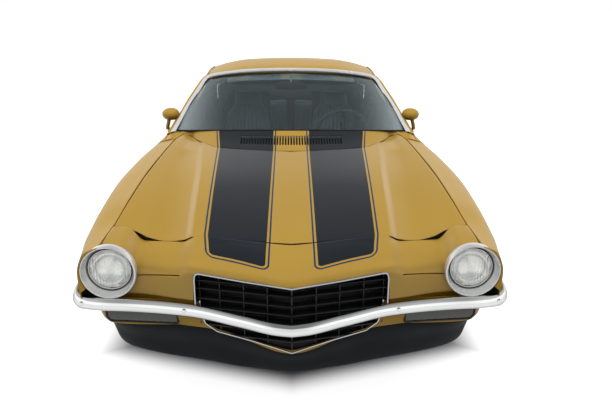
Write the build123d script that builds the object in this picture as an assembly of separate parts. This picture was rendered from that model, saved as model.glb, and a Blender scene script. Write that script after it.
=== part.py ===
from build123d import *
import math
import os

os.makedirs("parts", exist_ok=True)

# Frame: +Z up, the nose faces -Y, +X is the car's left, ground is z = 0.
# Every size is its own value in millimetres.

# ---- main sizes -----------------------------------------------------------
FRONT_AXLE_Y = -1422.0
REAR_AXLE_Y = 1321.0
FRONT_WHEEL_X = 778.0
REAR_WHEEL_X = 762.0
AXLE_Z = 330.0
TYRE_R = 330.0
TYRE_W = 214.0
RIM_R = 190.0
RIM_W = 200.0
HUB_PLANE = 17.0
KINGPIN_X = 700.0
FRONT_ARCH_R = 388.0
REAR_ARCH_R = 372.0
DOOR_FRONT_Y = -787.0
DOOR_REAR_Y = 640.0
DOOR_GAP = 7.0
DOOR_BOTTOM_Z = 262.0
DOOR_T = 62.0
SKIN_T = 10.0
PANEL_GAP = 6.5
HOOD_T = 22.0
RUN_GAP = 0.1
HOOD_HINGE_Y = -642.0
HOOD_HINGE_Z = 898.0
LID_HINGE_Y = 1596.0
LID_HINGE_Z = 934.0
DOOR_HINGE_X = 890.0
DOOR_HINGE_Y = -700.0
LID_T = 22.0
FLOOR_Z = 215.0
SILL_TOP_Z = 250.0


def vec(points):
    return [Vector(*p) for p in points]


def loft_polys(polys, ruled=False):
    wires = [Wire.make_polygon(vec(p), close=True) for p in polys]
    return Solid.make_loft(wires, ruled)


def skin(rows, off, ruled=False):
    """Sheet through rows of points, thickened along off (one, or one per point)."""
    polys = []
    for row in rows:
        offs = off if isinstance(off, list) else [off] * len(row)
        back = [(p[0] + o[0], p[1] + o[1], p[2] + o[2]) for p, o in zip(row, offs)]
        polys.append(list(row) + back[::-1])
    return loft_polys(polys, ruled)


def rail(path, profile):
    """Profile of (outward, up) points carried along a plan path (x, y, z)."""
    polys = []
    last = len(path) - 1
    for i, p in enumerate(path):
        a = path[max(i - 1, 0)]
        b = path[min(i + 1, last)]
        dx, dy = b[0] - a[0], b[1] - a[1]
        n = math.hypot(dx, dy)
        nx, ny = dy / n, -dx / n
        polys.append([(p[0] + nx * d, p[1] + ny * d, p[2] + h) for d, h in profile])
    return loft_polys(polys, True)


def box(x0, x1, y0, y1, z0, z1):
    size = (x1 - x0, y1 - y0, z1 - z0)
    mid = ((x0 + x1) / 2, (y0 + y1) / 2, (z0 + z1) / 2)
    return Pos(*mid) * Box(*size)


def prism(points, z0, z1):
    """Upright prism over a plan outline."""
    face = Face(Wire.make_polygon(vec([(x, y, z0) for x, y in points]), close=True))
    return Solid.extrude(face, Vector(0, 0, z1 - z0))


def prism_y(points, y0, y1):
    """Prism along Y over an (x, z) outline."""
    face = Face(Wire.make_polygon(vec([(x, y0, z) for x, z in points]), close=True))
    return Solid.extrude(face, Vector(0, y1 - y0, 0))


def cyl_x(x0, x1, y, z, r):
    return Pos((x0 + x1) / 2, y, z) * Rot(0, 90, 0) * Cylinder(r, x1 - x0)


def cyl_z(z0, z1, x, y, r):
    return Pos(x, y, (z0 + z1) / 2) * Cylinder(r, z1 - z0)


def rod(a, b, r):
    va, vb = Vector(*a), Vector(*b)
    axis = vb - va
    return Solid.make_cylinder(r, axis.length, Plane(origin=va, z_dir=axis))


def pipe(points, r):
    shape = rod(points[0], points[1], r)
    for a, b in zip(points[1:], points[2:]):
        shape += rod(a, b, r)
        shape += Pos(*a) * Sphere(r)
    return shape


def both(shape):
    return shape + mirror(shape, about=Plane.YZ)


def flip(shape):
    return mirror(shape, about=Plane.YZ)


def largest(shape):
    return max(shape.solids(), key=lambda s: s.volume)


def save(shape, name):
    solids = shape.solids()
    out = solids[0] if len(solids) == 1 else Compound(children=list(solids))
    export_step(out, "parts/" + name + ".step")
    volume = sum(s.volume for s in solids)
    print(name, len(solids), round(volume / 1e3), "cm3")


# ---- body sections --------------------------------------------------------
# Hood: y, centre z, bulge edge x z, valley x z, side seam x z
HOOD = [
    (-2135, 737, 412, 748, 545, 722, 772, 766),
    (-2003, 760, 421, 770, 552, 742, 765, 785),
    (-1752, 792, 440, 808, 572, 782, 754, 825),
    (-1475, 822, 462, 838, 592, 820, 748, 850),
    (-1084, 856, 498, 868, 618, 856, 724, 880),
    (-780, 879, 524, 886, 634, 886, 702, 897),
    (-630, 889, 536, 893, 640, 895, 694, 903),
]
# Side: y, crest x z, shoulder x z, widest x z, lower x z, rocker x z
FENDER = [
    (-2225, 776, 770, 838, 742, 884, 650, 886, 540, 868, 412),
    (-2003, 765, 785, 866, 752, 908, 640, 902, 500, 872, 405),
    (-1752, 754, 825, 882, 778, 928, 640, 912, 470, 880, 330),
    (-1475, 748, 850, 888, 803, 936, 640, 915, 440, 880, 245),
    (-1084, 724, 880, 864, 832, 928, 640, 908, 420, 872, 225),
    (-787, 702, 897, 824, 853, 905, 630, 893, 410, 862, 218),
]
DOOR = [
    (-780, 772, 884, 824, 853, 905, 630, 893, 410, 862, 262),
    (-500, 779, 893, 808, 858, 897, 625, 888, 410, 858, 262),
    (0, 783, 893, 810, 862, 893, 620, 885, 410, 856, 262),
    (400, 783, 893, 816, 864, 899, 623, 888, 410, 858, 262),
    (640, 784, 893, 824, 866, 908, 628, 893, 410, 862, 262),
]
# Quarter: y, top edge x z, belt x z, shoulder, widest, lower, rocker
QUARTER = [
    (647, 604, 1172, 784, 890, 824, 866, 908, 628, 893, 410, 862, 218),
    (900, 560, 1150, 777, 898, 836, 868, 922, 636, 900, 410, 864, 220),
    (1100, 578, 1085, 775, 903, 846, 868, 932, 642, 906, 420, 866, 225),
    (1321, 606, 1008, 774, 905, 856, 866, 940, 646, 912, 440, 868, 240),
    (1520, 648, 938, 768, 903, 854, 862, 942, 650, 912, 450, 868, 262),
    (1800, 654, 922, 758, 898, 842, 855, 930, 650, 905, 470, 866, 330),
    (2150, 645, 902, 742, 880, 812, 838, 898, 650, 885, 500, 850, 395),
    (2262, 640, 885, 735, 862, 800, 820, 880, 645, 870, 510, 840, 405),
]
# Roof: y, centre z, two crown points, rail x z
ROOF = [
    (-60, 1206, 300, 1199, 470, 1178, 560, 1152),
    (120, 1246, 310, 1237, 490, 1208, 596, 1172),
    (343, 1262, 320, 1252, 500, 1220, 604, 1180),
    (640, 1243, 315, 1233, 495, 1206, 604, 1174),
    (900, 1195, 300, 1187, 465, 1168, 552, 1152),
]


WALL_OFF = [(-SKIN_T, 0, 0)] * 3
FENDER_OFF = [(0, 0, -12), (-8, 0, -8)] + WALL_OFF
QUARTER_OFF = [(-2, 0, -12), (-4, 0, -12), (-9, 0, -8)] + WALL_OFF
NOSE_OFF = [(0, 0, -12), (0, 0, -12), (0, 8, -12), (0, 12, -8), (0, 12, 0)]


def pairs(row):
    return [(row[i], row[i + 1]) for i in range(0, len(row), 2)]


def hood_rows(z_off=0.0):
    rows = []
    for y, zc, *rest in HOOD:
        half = pairs(rest)
        left = [(x, y, z + z_off) for x, z in half]
        right = [(-x, y, z + z_off) for x, z in half[::-1]]
        rows.append(right + [(0, y, zc + z_off)] + left)
    return rows


def x_rows(table):
    """Full-width rows from a half table of x, then (y, z) points."""
    half = [[(x, y, z) for y, z in pairs(rest)] for x, *rest in table]
    other = [[(-x, y, z) for x, y, z in row] for row in half[:0:-1]]
    return other + half


def side_rows(table):
    return [[(x, y, z) for x, z in pairs(rest)] for y, *rest in table]


# ---- hood, cowl, fenders --------------------------------------------------
HOOD_FRONT = [(0, -2113), (108, -2105), (268, -2090), (418, -2073), (466, -2065)]
HOOD_FRONT += [(619, -2050), (663, -2025), (702, -2015), (760, -2005)]
HOOD_SIDE = [(747, -1752), (741, -1475), (717, -1084), (695, -780), (664, -662)]
HOOD_REAR = [(632, -662), (595, -722), (556, -799), (498, -870), (434, -930), (0, -992)]
half = HOOD_FRONT + HOOD_SIDE + HOOD_REAR
outline = half + [(-x, y) for x, y in half[::-1] if x > 0]
hood = skin(hood_rows(), (0, 0, -HOOD_T)) & prism(outline, 600, 1000)
HINGE_R = 7.0
arm = box(642, 652, -668, HOOD_HINGE_Y, HOOD_HINGE_Z - 7, HOOD_HINGE_Z)
arm += cyl_x(642, 652, HOOD_HINGE_Y, HOOD_HINGE_Z, HINGE_R)
hood += both(arm)
save(hood, "hood")

# Cowl: x, then front, middle and rear edge y z
COWL = [
    (0, -985, 866, -850, 893, -722, 930),
    (434, -922, 874, -800, 897, -692, 925),
    (498, -862, 882, -770, 901, -678, 921),
    (556, -790, 892, -725, 905, -664, 918),
    (600, -712, 900, -680, 907, -653, 914),
    (632, -655, 903, -648, 906, -642, 909),
    (686, -655, 901, -648, 904, -636, 906),
]
cowl = skin(x_rows(COWL), (0, 0, -16), True)
cowl += box(-686, 686, -650, -632, 790, 895)
cowl += box(-470, 470, -912, -640, 780, 792)
cowl += box(-470, 470, -862, -850, 780, 872)
cowl -= both(box(634, 652 + RUN_GAP, -680, -628, 884, 930))
hinge = cyl_x(652 + RUN_GAP, 668, HOOD_HINGE_Y, HOOD_HINGE_Z, HINGE_R)
cowl += both(hinge)
save(cowl, "cowl")

fender = skin(side_rows(FENDER), FENDER_OFF, True)
fender -= box(780, 920, -2240, -2182, 400, 556)
fender -= cyl_x(600, 1000, FRONT_AXLE_Y, AXLE_Z, FRONT_ARCH_R)
rows = []
for y, xs, zs, *rest in FENDER[1:]:
    zv = zs - 34
    path = [(xs + 3, zs - 5), (xs + 3, zs - 42), (480, zv - 52), (480, 360)]
    path += [(490, 360), (490, zv - 62), (xs + 13, zs - 52), (xs + 13, zs - 5)]
    rows.append([(x, y, z) for x, z in path])
apron = loft_polys(rows, True)
apron -= cyl_x(500, 1000, FRONT_AXLE_Y, AXLE_Z, FRONT_ARCH_R)
apron -= box(300, 900, -912, -700, 0, 1000)
apron -= box(470, 500, FRONT_AXLE_Y - 70, FRONT_AXLE_Y + 70, 350, 520)
fender_left = fender + apron
save(fender_left, "fender_left")
save(flip(fender_left), "fender_right")

# ---- nose, grille, lamps, bumper, valance ---------------------------------
LAMP_X = 742.0
LAMP_Y = -2197.0
LAMP_Z = 661.0
LAMP_R = 97.0
BEZEL_R = 112.0
# Nose: x, then (y, z) points from the hood seam to the front edge
NOSE = [
    (0, -2120, 738, -2200, 722, -2300, 692, -2345, 672, -2360, 652),
    (108, -2112, 744, -2195, 728, -2285, 698, -2322, 680, -2336, 660),
    (268, -2097, 757, -2170, 740, -2245, 710, -2284, 692, -2298, 670),
    (398, -2080, 761, -2155, 738, -2215, 712, -2252, 696, -2266, 680),
    (402, -2080, 761, -2155, 738, -2215, 712, -2252, 696, -2266, 562),
    (466, -2072, 735, -2130, 728, -2190, 716, -2228, 700, -2248, 562),
    (619, -2057, 736, -2110, 732, -2160, 728, -2188, 716, -2205, 560),
    (700, -2022, 782, -2090, 776, -2150, 770, -2186, 760, -2198, 558),
    (757, -2014, 784, -2090, 778, -2150, 770, -2184, 760, -2196, 558),
]
nose = skin(x_rows(NOSE), NOSE_OFF, True)
ring = Pos(LAMP_X, LAMP_Y + 8, LAMP_Z) * Rot(90, 0, 0) * Cylinder(LAMP_R + 8, 14)
ring &= box(600, 900, -2250, -2150, 540, 720)
nose += both(ring)
hole = Pos(LAMP_X, LAMP_Y, LAMP_Z) * Rot(90, 0, 0) * Cylinder(LAMP_R, 200)
nose -= both(hole)
save(nose, "nose_panel")

lamp = Pos(LAMP_X, LAMP_Y, LAMP_Z) * Rot(90, 0, 0) * Cylinder(LAMP_R, 60)
lamp += Pos(LAMP_X, LAMP_Y + 50, LAMP_Z) * Rot(90, 0, 0) * Cylinder(70, 80)
headlamps = both(lamp)

GRILLE_END_X = 378.0
GRILLE_APEX_Y = -2340.0
GRILLE_END_Y = -2250.0
GRILLE_BAR_T = 5.0
GRILLE_DEPTH = 26.0
slope = (GRILLE_END_Y - GRILLE_APEX_Y) / GRILLE_END_X
bars = None
for x in (3, 90, 180, 270, 362):
    y = GRILLE_APEX_Y + slope * x
    bar = box(x - 3, x + 3, y, y + GRILLE_DEPTH, 370, 690)
    bars = bar if bars is None else bars + bar
for z in (376, 425, 475, 520, 565, 610, 645, 668):
    rows = []
    for x in (0, GRILLE_END_X):
        y = GRILLE_APEX_Y + slope * x
        lift = 24 * x / GRILLE_END_X
        rows.append([(x, y, z + lift), (x, y, z + lift + GRILLE_BAR_T)])
    bars += skin(rows, (0, GRILLE_DEPTH, 0), True)
GRILLE_OUTLINE = [(0, 356), (302, 416), (349, 441), (365, 477), (379, 560)]
GRILLE_OUTLINE += [(385, 640), (384, 676), (350, 684), (0, 664)]
clip = prism_y(GRILLE_OUTLINE, -2400, -2100)
bars = bars & clip
frame = clip & skin([[(0, -2340, 300), (0, -2340, 700)], [(378, -2250, 300), (378, -2250, 700)]],
                    (0, 14, 0), True)
inner = [(-5, 374), (296, 433), (336, 455), (348, 484), (362, 560), (366, 640), (350, 658), (-5, 643)]
frame -= prism_y(inner, -2400, -2100)
grille = both(bars + frame)

BUMPER_PATH = [
    (914, -2060, 524),
    (911, -2155, 525),
    (886, -2207, 524),
    (826, -2227, 522),
    (654, -2238, 517),
    (411, -2272, 513),
    (204, -2326, 493),
    (60, -2364, 476),
    (0, -2369, 471),
]
BLADE = [(-6, -27), (8, -24), (18, 0), (8, 26), (-6, 28)]
path = BUMPER_PATH + [(-x, y, z) for x, y, z in BUMPER_PATH[-2::-1]]
bumper = rail(path[::-1], BLADE)
bumper += both(box(395, 425, -2269, -2050, 500, 530))
save(bumper, "front_bumper")

# Valance: x, y of the face, top z, lower z
VALANCE = [
    (0, -2335, 541, 350),
    (210, -2286, 541, 396),
    (358, -2250, 541, 424),
    (470, -2226, 541, 420),
    (770, -2188, 541, 412),
    (840, -2150, 538, 410),
    (850, -2100, 535, 408),
]
rows = []
for x, y, zt, zl in VALANCE:
    rows.append((x, y, zt, y - 6, (zt + zl) / 2, y, zl, y + 60, zl - 8))
valance = skin(x_rows(rows), (0, 10, 4), True)
hole = [(-1, 360), (302, 419), (350, 444), (363, 478), (376, 562), (380, 600), (-1, 600)]
valance -= both(prism_y(hole, -2500, -2100))
LAMP_OUTLINE = [(473, 432), (473, 488), (776, 484), (776, 450), (758, 428)]
valance -= both(prism_y(LAMP_OUTLINE, -2400, -2150))
valance -= both(box(390, 430, -2300, -2180, 495, 535))
save(valance, "front_valance")
save(grille - valance - nose, "grille")
rows = [[(470, -2227, 424), (470, -2227, 490)], [(780, -2189, 424), (780, -2189, 490)]]
lamp = skin(rows, (0, 24, 0), True) & prism_y(LAMP_OUTLINE, -2400, -2150)
save(headlamps + both(lamp), "front_lamps")

DAM = [(-770, -2094, 412), (-650, -2172, 416), (-360, -2240, 424), (0, -2304, 352)]
DAM = DAM + [(-x, y, z) for x, y, z in DAM[-2::-1]]
rows = []
for x, y, z in DAM:
    back = 30 + abs(x) * 0.02
    rows.append([(x, y, z), (x, y + back, 215)])
save(largest(skin(rows, (0, 10, 0), True) - valance), "air_dam")

# ---- engine bay -----------------------------------------------------------
radiator = box(-330, 330, -2110, -2050, 330, 680)
radiator += box(-600, 600, -2050, -2035, 400, 690)
radiator += box(-600, 600, -2110, -2035, 350, 400)
radiator += both(box(430, 460, -2140, -2035, 680, 712)) - nose
radiator += both(box(430, 460, -2250, -2050, 460, 485)) - valance
save(largest(radiator), "radiator")

RAIL_X = 410.0
rails = box(RAIL_X - 30, RAIL_X + 30, -2120, -912, 270, 350)
rails += box(0, 440, -1500, -1345, 232, 270)
rails += box(400, 716, FRONT_AXLE_Y - 22, FRONT_AXLE_Y + 22, 182, 200)
rails += box(400, 445, FRONT_AXLE_Y - 60, FRONT_AXLE_Y + 60, 182, 300)
rails += box(430, 716, FRONT_AXLE_Y - 22, FRONT_AXLE_Y + 22, 462, 478)
rails += box(380, 445, FRONT_AXLE_Y - 60, FRONT_AXLE_Y + 60, 340, 478)
rails += box(0, 440, -2100, -2050, 290, 330)
rails += box(0, 440, -964, -912, 212, 275)
save(both(rails), "subframe")

engine = box(-230, 230, -1830, -1130, 360, 740)
engine += box(-330, 330, -1760, -1200, 540, 690)
engine += box(-120, 120, -1700, -1300, 270, 360)
engine += box(-125, 125, -1130, -560, 280, 440)
engine += cyl_z(735, 775, 0, -1480, 170)
save(engine, "engine")

for name, s in (("knuckle_left", 1), ("knuckle_right", -1)):
    post = cyl_z(200.1, 461.9, KINGPIN_X, FRONT_AXLE_Y, 20)
    hub_x = FRONT_WHEEL_X + HUB_PLANE
    post += cyl_x(KINGPIN_X, hub_x - 0.1, FRONT_AXLE_Y, AXLE_Z, 32)
    post += cyl_x(hub_x - 16, hub_x - 0.1, FRONT_AXLE_Y, AXLE_Z, 58)
    post += cyl_x(742, 766, FRONT_AXLE_Y, AXLE_Z, 140)
    post += box(726, 776, FRONT_AXLE_Y + 60, FRONT_AXLE_Y + 128, AXLE_Z - 50, AXLE_Z + 50)
    post = post if s > 0 else flip(post)
    save(post, name)

# ---- glass and roof -------------------------------------------------------
WS_BASE = [(0, -716, 933), (360, -692, 928), (560, -655, 921), (668, -614, 915)]
WS_TOP = [(0, -47, 1206), (300, -42, 1196), (470, -32, 1176), (535, -22, 1157)]


def glass_rows(base, top, bulge_y, bulge_z):
    rows = []
    for b, t in zip(base, top):
        mid = tuple((p + q) / 2 for p, q in zip(b, t))
        rows.append([b, (mid[0], mid[1] + bulge_y, mid[2] + bulge_z), t])
    mirrored = [[(-x, y, z) for x, y, z in r] for r in rows[:0:-1]]
    return mirrored + rows


windshield = skin(glass_rows(WS_BASE, WS_TOP, -6, 12), (0, 3, -6))

rows = []
for y, zc, *rest in ROOF:
    half = [(x, y, z) for x, z in pairs(rest)]
    rows.append([(-x, y, z) for x, y, z in half[::-1]] + [(0, y, zc)] + half)
roof = skin(rows, (0, 0, -20))
ROOF_FRONT = [(0, -44), (300, -38), (470, -28), (590, -16)]
ROOF_REAR = [(606, 641), (598, 648), (556, 880), (300, 886), (0, 890)]
half = ROOF_FRONT + [(620, 0), (620, 640)] + ROOF_REAR
outline = half + [(-x, y) for x, y in half[::-1] if x > 0]
roof = roof & prism(outline, 1000, 1400)
pillar = [
    [(672, -632, 885), (698, -626, 885), (712, -566, 885), (684, -562, 885)],
    [(629, -352, 1022), (652, -342, 1022), (676, -290, 1022), (646, -286, 1022)],
    [(552, -30, 1166), (574, -22, 1166), (594, 40, 1166), (560, 46, 1166)],
]
pillar = loft_polys(pillar, True)
siderail = box(556, 592, 30, 641, 1154, 1166)
roof = roof + both(pillar) + both(siderail)


RW_BASE = [(0, 1546, 952), (350, 1536, 946), (560, 1506, 938), (620, 1474, 936)]
RW_TOP = [(0, 893, 1194), (300, 891, 1185), (460, 890, 1166), (532, 886, 1150)]
rear_window = skin(glass_rows(RW_BASE, RW_TOP, 8, 16), (0, -3, -6))

# ---- doors ----------------------------------------------------------------
door = skin(side_rows(DOOR), (-DOOR_T, 0, 0), True)
taper = Pos(908, DOOR_REAR_Y + 8, 600) * Rot(0, 0, 9) * Pos(-200, 30, 0) * Box(400, 60, 900)
door -= taper
door -= box(800, 900, -790, -685, 600, 641)
door += cyl_z(634 + RUN_GAP, 642, DOOR_HINGE_X, DOOR_HINGE_Y, 9)
MIRROR_Y = -470.0
head = Pos(842, MIRROR_Y, 978) * Rot(90, 0, 0) * Cylinder(46, 90)
stalk = rod((790, MIRROR_Y + 10, 880), (836, MIRROR_Y + 5, 950), 14)
door += head + stalk
save(door, "door_left")
save(flip(door), "door_right")
glass = [(783, -572, 893), (783, 596, 893), (606, 548, 1146), (606, 34, 1146)]
face = Face(Wire.make_polygon(vec(glass), close=True))
pane = Solid.extrude(face, Vector(-6, 0, 0))
save(pane, "door_glass_left")
save(flip(pane), "door_glass_right")

# ---- quarters, tail -------------------------------------------------------
quarter = skin(side_rows(QUARTER), QUARTER_OFF, True)
quarter -= cyl_x(700, 1000, REAR_AXLE_Y, AXLE_Z, REAR_ARCH_R)
roof -= both(quarter)
windshield -= roof
save(roof, "roof")
save(windshield, "windshield")
save(rear_window - both(quarter) - roof, "rear_window")
save(quarter, "quarter_left")
save(flip(quarter), "quarter_right")

DECK = [
    (0, 1540, 948, 1600, 938),
    (350, 1530, 944, 1596, 936),
    (560, 1500, 938, 1586, 930),
    (640, 1470, 934, 1560, 925),
    (656, 1466, 932, 1556, 923),
]
deck = skin(x_rows(DECK), (0, 0, -12), True)
deck += box(-620, 620, 1130, 1530, 868, 880)
deck += box(-620, 620, 1505, 1530, 868, 930)
hinge = cyl_x(480, 500, LID_HINGE_Y, LID_HINGE_Z, 5)
deck -= both(box(500, 520 + RUN_GAP, 1570, 1640, 920, 950))
hinge += box(480, 500, 1570, 1600, 922, 932)
deck += both(hinge)
save(deck - both(quarter) - rear_window, "rear_deck")

# Trunk lid: y, centre z, side x z
LID = [
    (1600, 938, 400, 935, 600, 929, 650, 923),
    (1850, 933, 400, 930, 600, 922, 650, 914),
    (2140, 915, 400, 912, 600, 906, 642, 896),
    (2262, 905, 400, 902, 600, 897, 634, 880),
]
rows = []
for y, zc, *rest in LID:
    half = [(x - 9, y, z) for x, z in pairs(rest)]
    rows.append([(-x, y, z) for x, y, z in half[::-1]] + [(0, y, zc)] + half)
lid = skin(rows, (0, 0, -LID_T))
lid &= prism([(-700, 1607), (700, 1607), (700, 2262), (-700, 2262)], 600, 1000)
SPOILER = [(-600, 2262, 900), (-300, 2282, 906), (0, 2290, 908), (300, 2282, 906), (600, 2262, 900)]
arm = cyl_x(500 + RUN_GAP, 516, LID_HINGE_Y, LID_HINGE_Z, 5)
arm += box(500 + RUN_GAP, 516, LID_HINGE_Y, 1625, LID_HINGE_Z - 8, LID_HINGE_Z - 4)
lid += both(arm)
lid += rail(SPOILER[::-1], [(-60, -14), (0, -20), (8, 44), (-4, 46), (-60, 0)])
save(lid, "trunk_lid")

TAIL = [
    (0, 2272, 872, 2282, 620),
    (400, 2264, 870, 2274, 620),
    (640, 2248, 848, 2262, 620),
    (780, 2222, 808, 2238, 620),
]
tail = skin(x_rows(TAIL), (0, -14, 0), True)
TAIL_LAMP_X = (430.0, 610.0)
TAIL_LAMP_Z = 742.0
TAIL_LAMP_R = 68.0
lamps = None
for x in TAIL_LAMP_X:
    tail -= both(Pos(x, 2260, TAIL_LAMP_Z) * Rot(90, 0, 0) * Cylinder(TAIL_LAMP_R, 120))
    y = 2262 - (x - 430) * 0.06
    one = Pos(x, y, TAIL_LAMP_Z) * Rot(90, 0, 0) * Cylinder(TAIL_LAMP_R, 50)
    lamps = one if lamps is None else lamps + one
save(tail, "tail_panel")
save(both(lamps), "tail_lamps")

REAR_BUMPER = [
    (926, 2080, 560),
    (922, 2200, 562),
    (898, 2288, 562),
    (820, 2326, 561),
    (600, 2350, 559),
    (300, 2364, 556),
    (0, 2369, 555),
]
path = REAR_BUMPER + [(-x, y, z) for x, y, z in REAR_BUMPER[-2::-1]]
rear_bumper = rail(path, [(-16, -46), (6, -42), (18, 0), (6, 42), (-16, 46)])
rear_bumper += both(box(380, 420, 2262, 2345, 540, 570))
RV = [
    (0, 2280, 604, 2290, 400),
    (400, 2272, 604, 2282, 400),
    (640, 2262, 604, 2268, 402),
    (830, 2222, 604, 2226, 405),
]
rear_valance = skin(x_rows(RV), (0, -12, 0), True)
PLATE_HOLE_X = 89.0
PLATE_HOLE_Z = 505.0
PLATE_HOLE_R = 3.2
hole = Pos(PLATE_HOLE_X, 2282, PLATE_HOLE_Z) * Rot(90, 0, 0) * Cylinder(PLATE_HOLE_R, 80)
rear_valance -= both(hole)
save(rear_valance, "rear_valance")
back = both(box(380, 420, 2200, 2270, 530, 580))
save(rear_bumper - rear_valance - back, "rear_bumper")

# ---- floor, seats, dashboard ----------------------------------------------
floor = box(-760, 760, -900, 712, FLOOR_Z, FLOOR_Z + 12)
floor += box(-640, 640, 700, 712, FLOOR_Z, 360)
floor += box(-640, 640, 700, 950, 348, 360)
floor += box(-640, 640, 938, 950, 348, 492)
floor -= box(-170, 170, -1000, 960, 0, 360)
tunnel = [(-176, 215), (-150, 470), (150, 470), (176, 215)]
tunnel += [(164, 215), (140, 458), (-140, 458), (-164, 215)]
floor += prism_y(tunnel, -900, -300)
floor += prism_y([(-150, 458), (150, 458), (150, 470), (-150, 470)], -312, -300)
tunnel = [(-176, 215), (-130, 410), (130, 410), (176, 215)]
tunnel += [(164, 215), (120, 398), (-120, 398), (-164, 215)]
floor += prism_y(tunnel, -300, 950)
floor += box(-140, 140, -312, -300, 400, 470)
floor -= box(-112, 112, 930, 960, 215, 392)
floor += both(box(760, 845, -775, 900, FLOOR_Z, SILL_TOP_Z))
floor += both(box(630, 760, 712, 900, FLOOR_Z, FLOOR_Z + 12))
floor += box(-760, 760, -912, -900, FLOOR_Z, 780)
floor -= box(-136, 136, -930, -890, 215, 456)
floor += box(-630, 630, 938, 1560, 480, 492)
floor += box(-630, 630, 1548, 1560, 420, 492)
floor += box(-630, 630, 1548, 2245, 412, 424)
floor += both(box(630, 642, 940, 2218, 400, 860))
floor += both(box(630, 642, 2200, 2262, 400, 662))
floor += both(box(640, 845, 900, 912, 215, 480))
floor += both(box(628, 640, 712, 912, 215, 480))
wheelhouse = cyl_x(636, 925, REAR_AXLE_Y, AXLE_Z, REAR_ARCH_R + 12)
wheelhouse -= cyl_x(600, 960, REAR_AXLE_Y, AXLE_Z, REAR_ARCH_R)
wheelhouse &= box(600, 925, 900, 1760, 430, 800)
floor += both(wheelhouse)
pillar = box(700, 740, -770, -660, FLOOR_Z, 780)
pillar += box(735, DOOR_HINGE_X, DOOR_HINGE_Y - 8, DOOR_HINGE_Y + 8, 606, 634)
pillar += cyl_z(606, 634, DOOR_HINGE_X, DOOR_HINGE_Y, 9)
floor += both(pillar)
floor += box(-380, 380, 1640, 2060, 250, 412)
floor = floor - both(quarter) - tail - rear_valance
# Each pressing is its own solid, with a seam of RUN_GAP along its welds
floor -= box(-930, 930, -900 - RUN_GAP, -900, 200, 790)
floor -= both(box(760, 760 + RUN_GAP, -899, 950, 200, 300))
floor -= both(box(176, 176 + RUN_GAP, -901, 714, 200, 255))
floor -= both(box(690, 750, -780, -650, 227, 227 + RUN_GAP))
floor -= box(-760, 760, 700 - RUN_GAP, 700, 200, 370)
floor -= box(-760, 760, 712, 712 + RUN_GAP, 200, 347)
floor -= box(-640, 640, 699, 713, 348 - RUN_GAP, 348)
floor -= box(-640, 640, 937, 951, 360, 360 + RUN_GAP)
floor -= box(-180, 180, 938 - RUN_GAP, 938, 200, 420)
floor -= both(box(628 - RUN_GAP, 628, 699, 951, 200, 500))
floor -= box(-629, 629, 950, 950 + RUN_GAP, 470, 500)
floor -= box(-629, 629, 1548 - RUN_GAP, 1548, 470, 500)
floor -= box(-629, 629, 1547, 1561, 424, 424 + RUN_GAP)
floor -= box(-390, 390, 1630, 2070, 412 - RUN_GAP, 412)
floor -= both(box(630 - RUN_GAP, 630, 937, 2263, 300, 870))
floor -= both(box(642, 642 + RUN_GAP, 905, 2263, 390, 900))
floor -= both(box(640, 850, 900 - RUN_GAP, 900, 200, 500))
floor = Compound(children=[s for s in floor.solids() if s.volume > 2e5])
save(floor, "floor_pan")

outline = [(-700, 700), (-700, 820), (-600, 868), (600, 868), (700, 820), (700, 700)]
dash = prism_y(outline, -632, -420)
dash += box(-690, 690, -430, -400, 640, 850)


def seat(s):
    x0, x1 = (185, 585) if s > 0 else (-585, -185)
    base = box(x0, x1, -190, 340, 270, 400)
    base += box(x0 + 30, x1 - 30, -150, 300, FLOOR_Z + 12, 270)
    back = Pos(s * 345, 350, 690) * Rot(-14, 0, 0) * Box(450, 110, 620)
    back -= box(-184, 184, 200, 400, 0, 412)
    head = Pos(s * 345, 428, 985) * Rot(-14, 0, 0) * Box(260, 90, 130)
    return base + back + head


save(seat(1) + seat(-1), "front_seats")
rear = box(-600, 600, 640, 938, 360, 440)
rear -= box(-150, 150, 600, 940, 200, 412)
rear += box(-600, 600, 640, 699, 300, 400)
rear -= box(-180, 180, 600, 940, 200, 412)
rear += Pos(0, 985, 668) * Rot(-24, 0, 0) * Box(1180, 100, 420)
rear += box(-560, 560, 870, 937, 414, 600)
rear -= box(-700, 700, 930, 1300, 200, 493)
save(rear, "rear_seat")

WHEEL_C = (365.0, -150.0, 800.0)
TILT = -66.0
place = Pos(*WHEEL_C) * Rot(TILT, 0, 0)
wheel = Torus(182, 14) + Cylinder(36, 30) + Box(340, 34, 8) + Pos(0, -90, 0) * Box(34, 170, 8)
wheel += Pos(0, 0, -115 + RUN_GAP) * Cylinder(20, 230)
save(place * wheel, "steering_wheel")
dash += place * Pos(0, 0, -275) * Cylinder(30, 90)
save(dash, "dashboard")

# ---- running gear ---------------------------------------------------------
TYRE_PROFILE = [
    (190, -88), (204, -100), (250, -107), (296, -104), (322, -92), (330, -72),
    (330, 72), (322, 92), (296, 104), (250, 107), (204, 100), (190, 88),
]
RIM_PROFILE = [
    (190, -88), (202, -100), (196, -100), (178, -88), (176, -30), (160, 8),
    (62, 16), (62, HUB_PLANE), (0, HUB_PLANE), (0, 44), (56, 44), (70, 34),
    (150, 30), (170, 44), (178, 88), (196, 100), (202, 100), (190, 88),
]


def revolve_x(profile):
    pts = vec([(a, r, 0) for r, a in profile])
    face = Face(Wire.make_polygon(pts, close=True))
    return Solid.revolve(face, 360, Axis.X)


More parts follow.
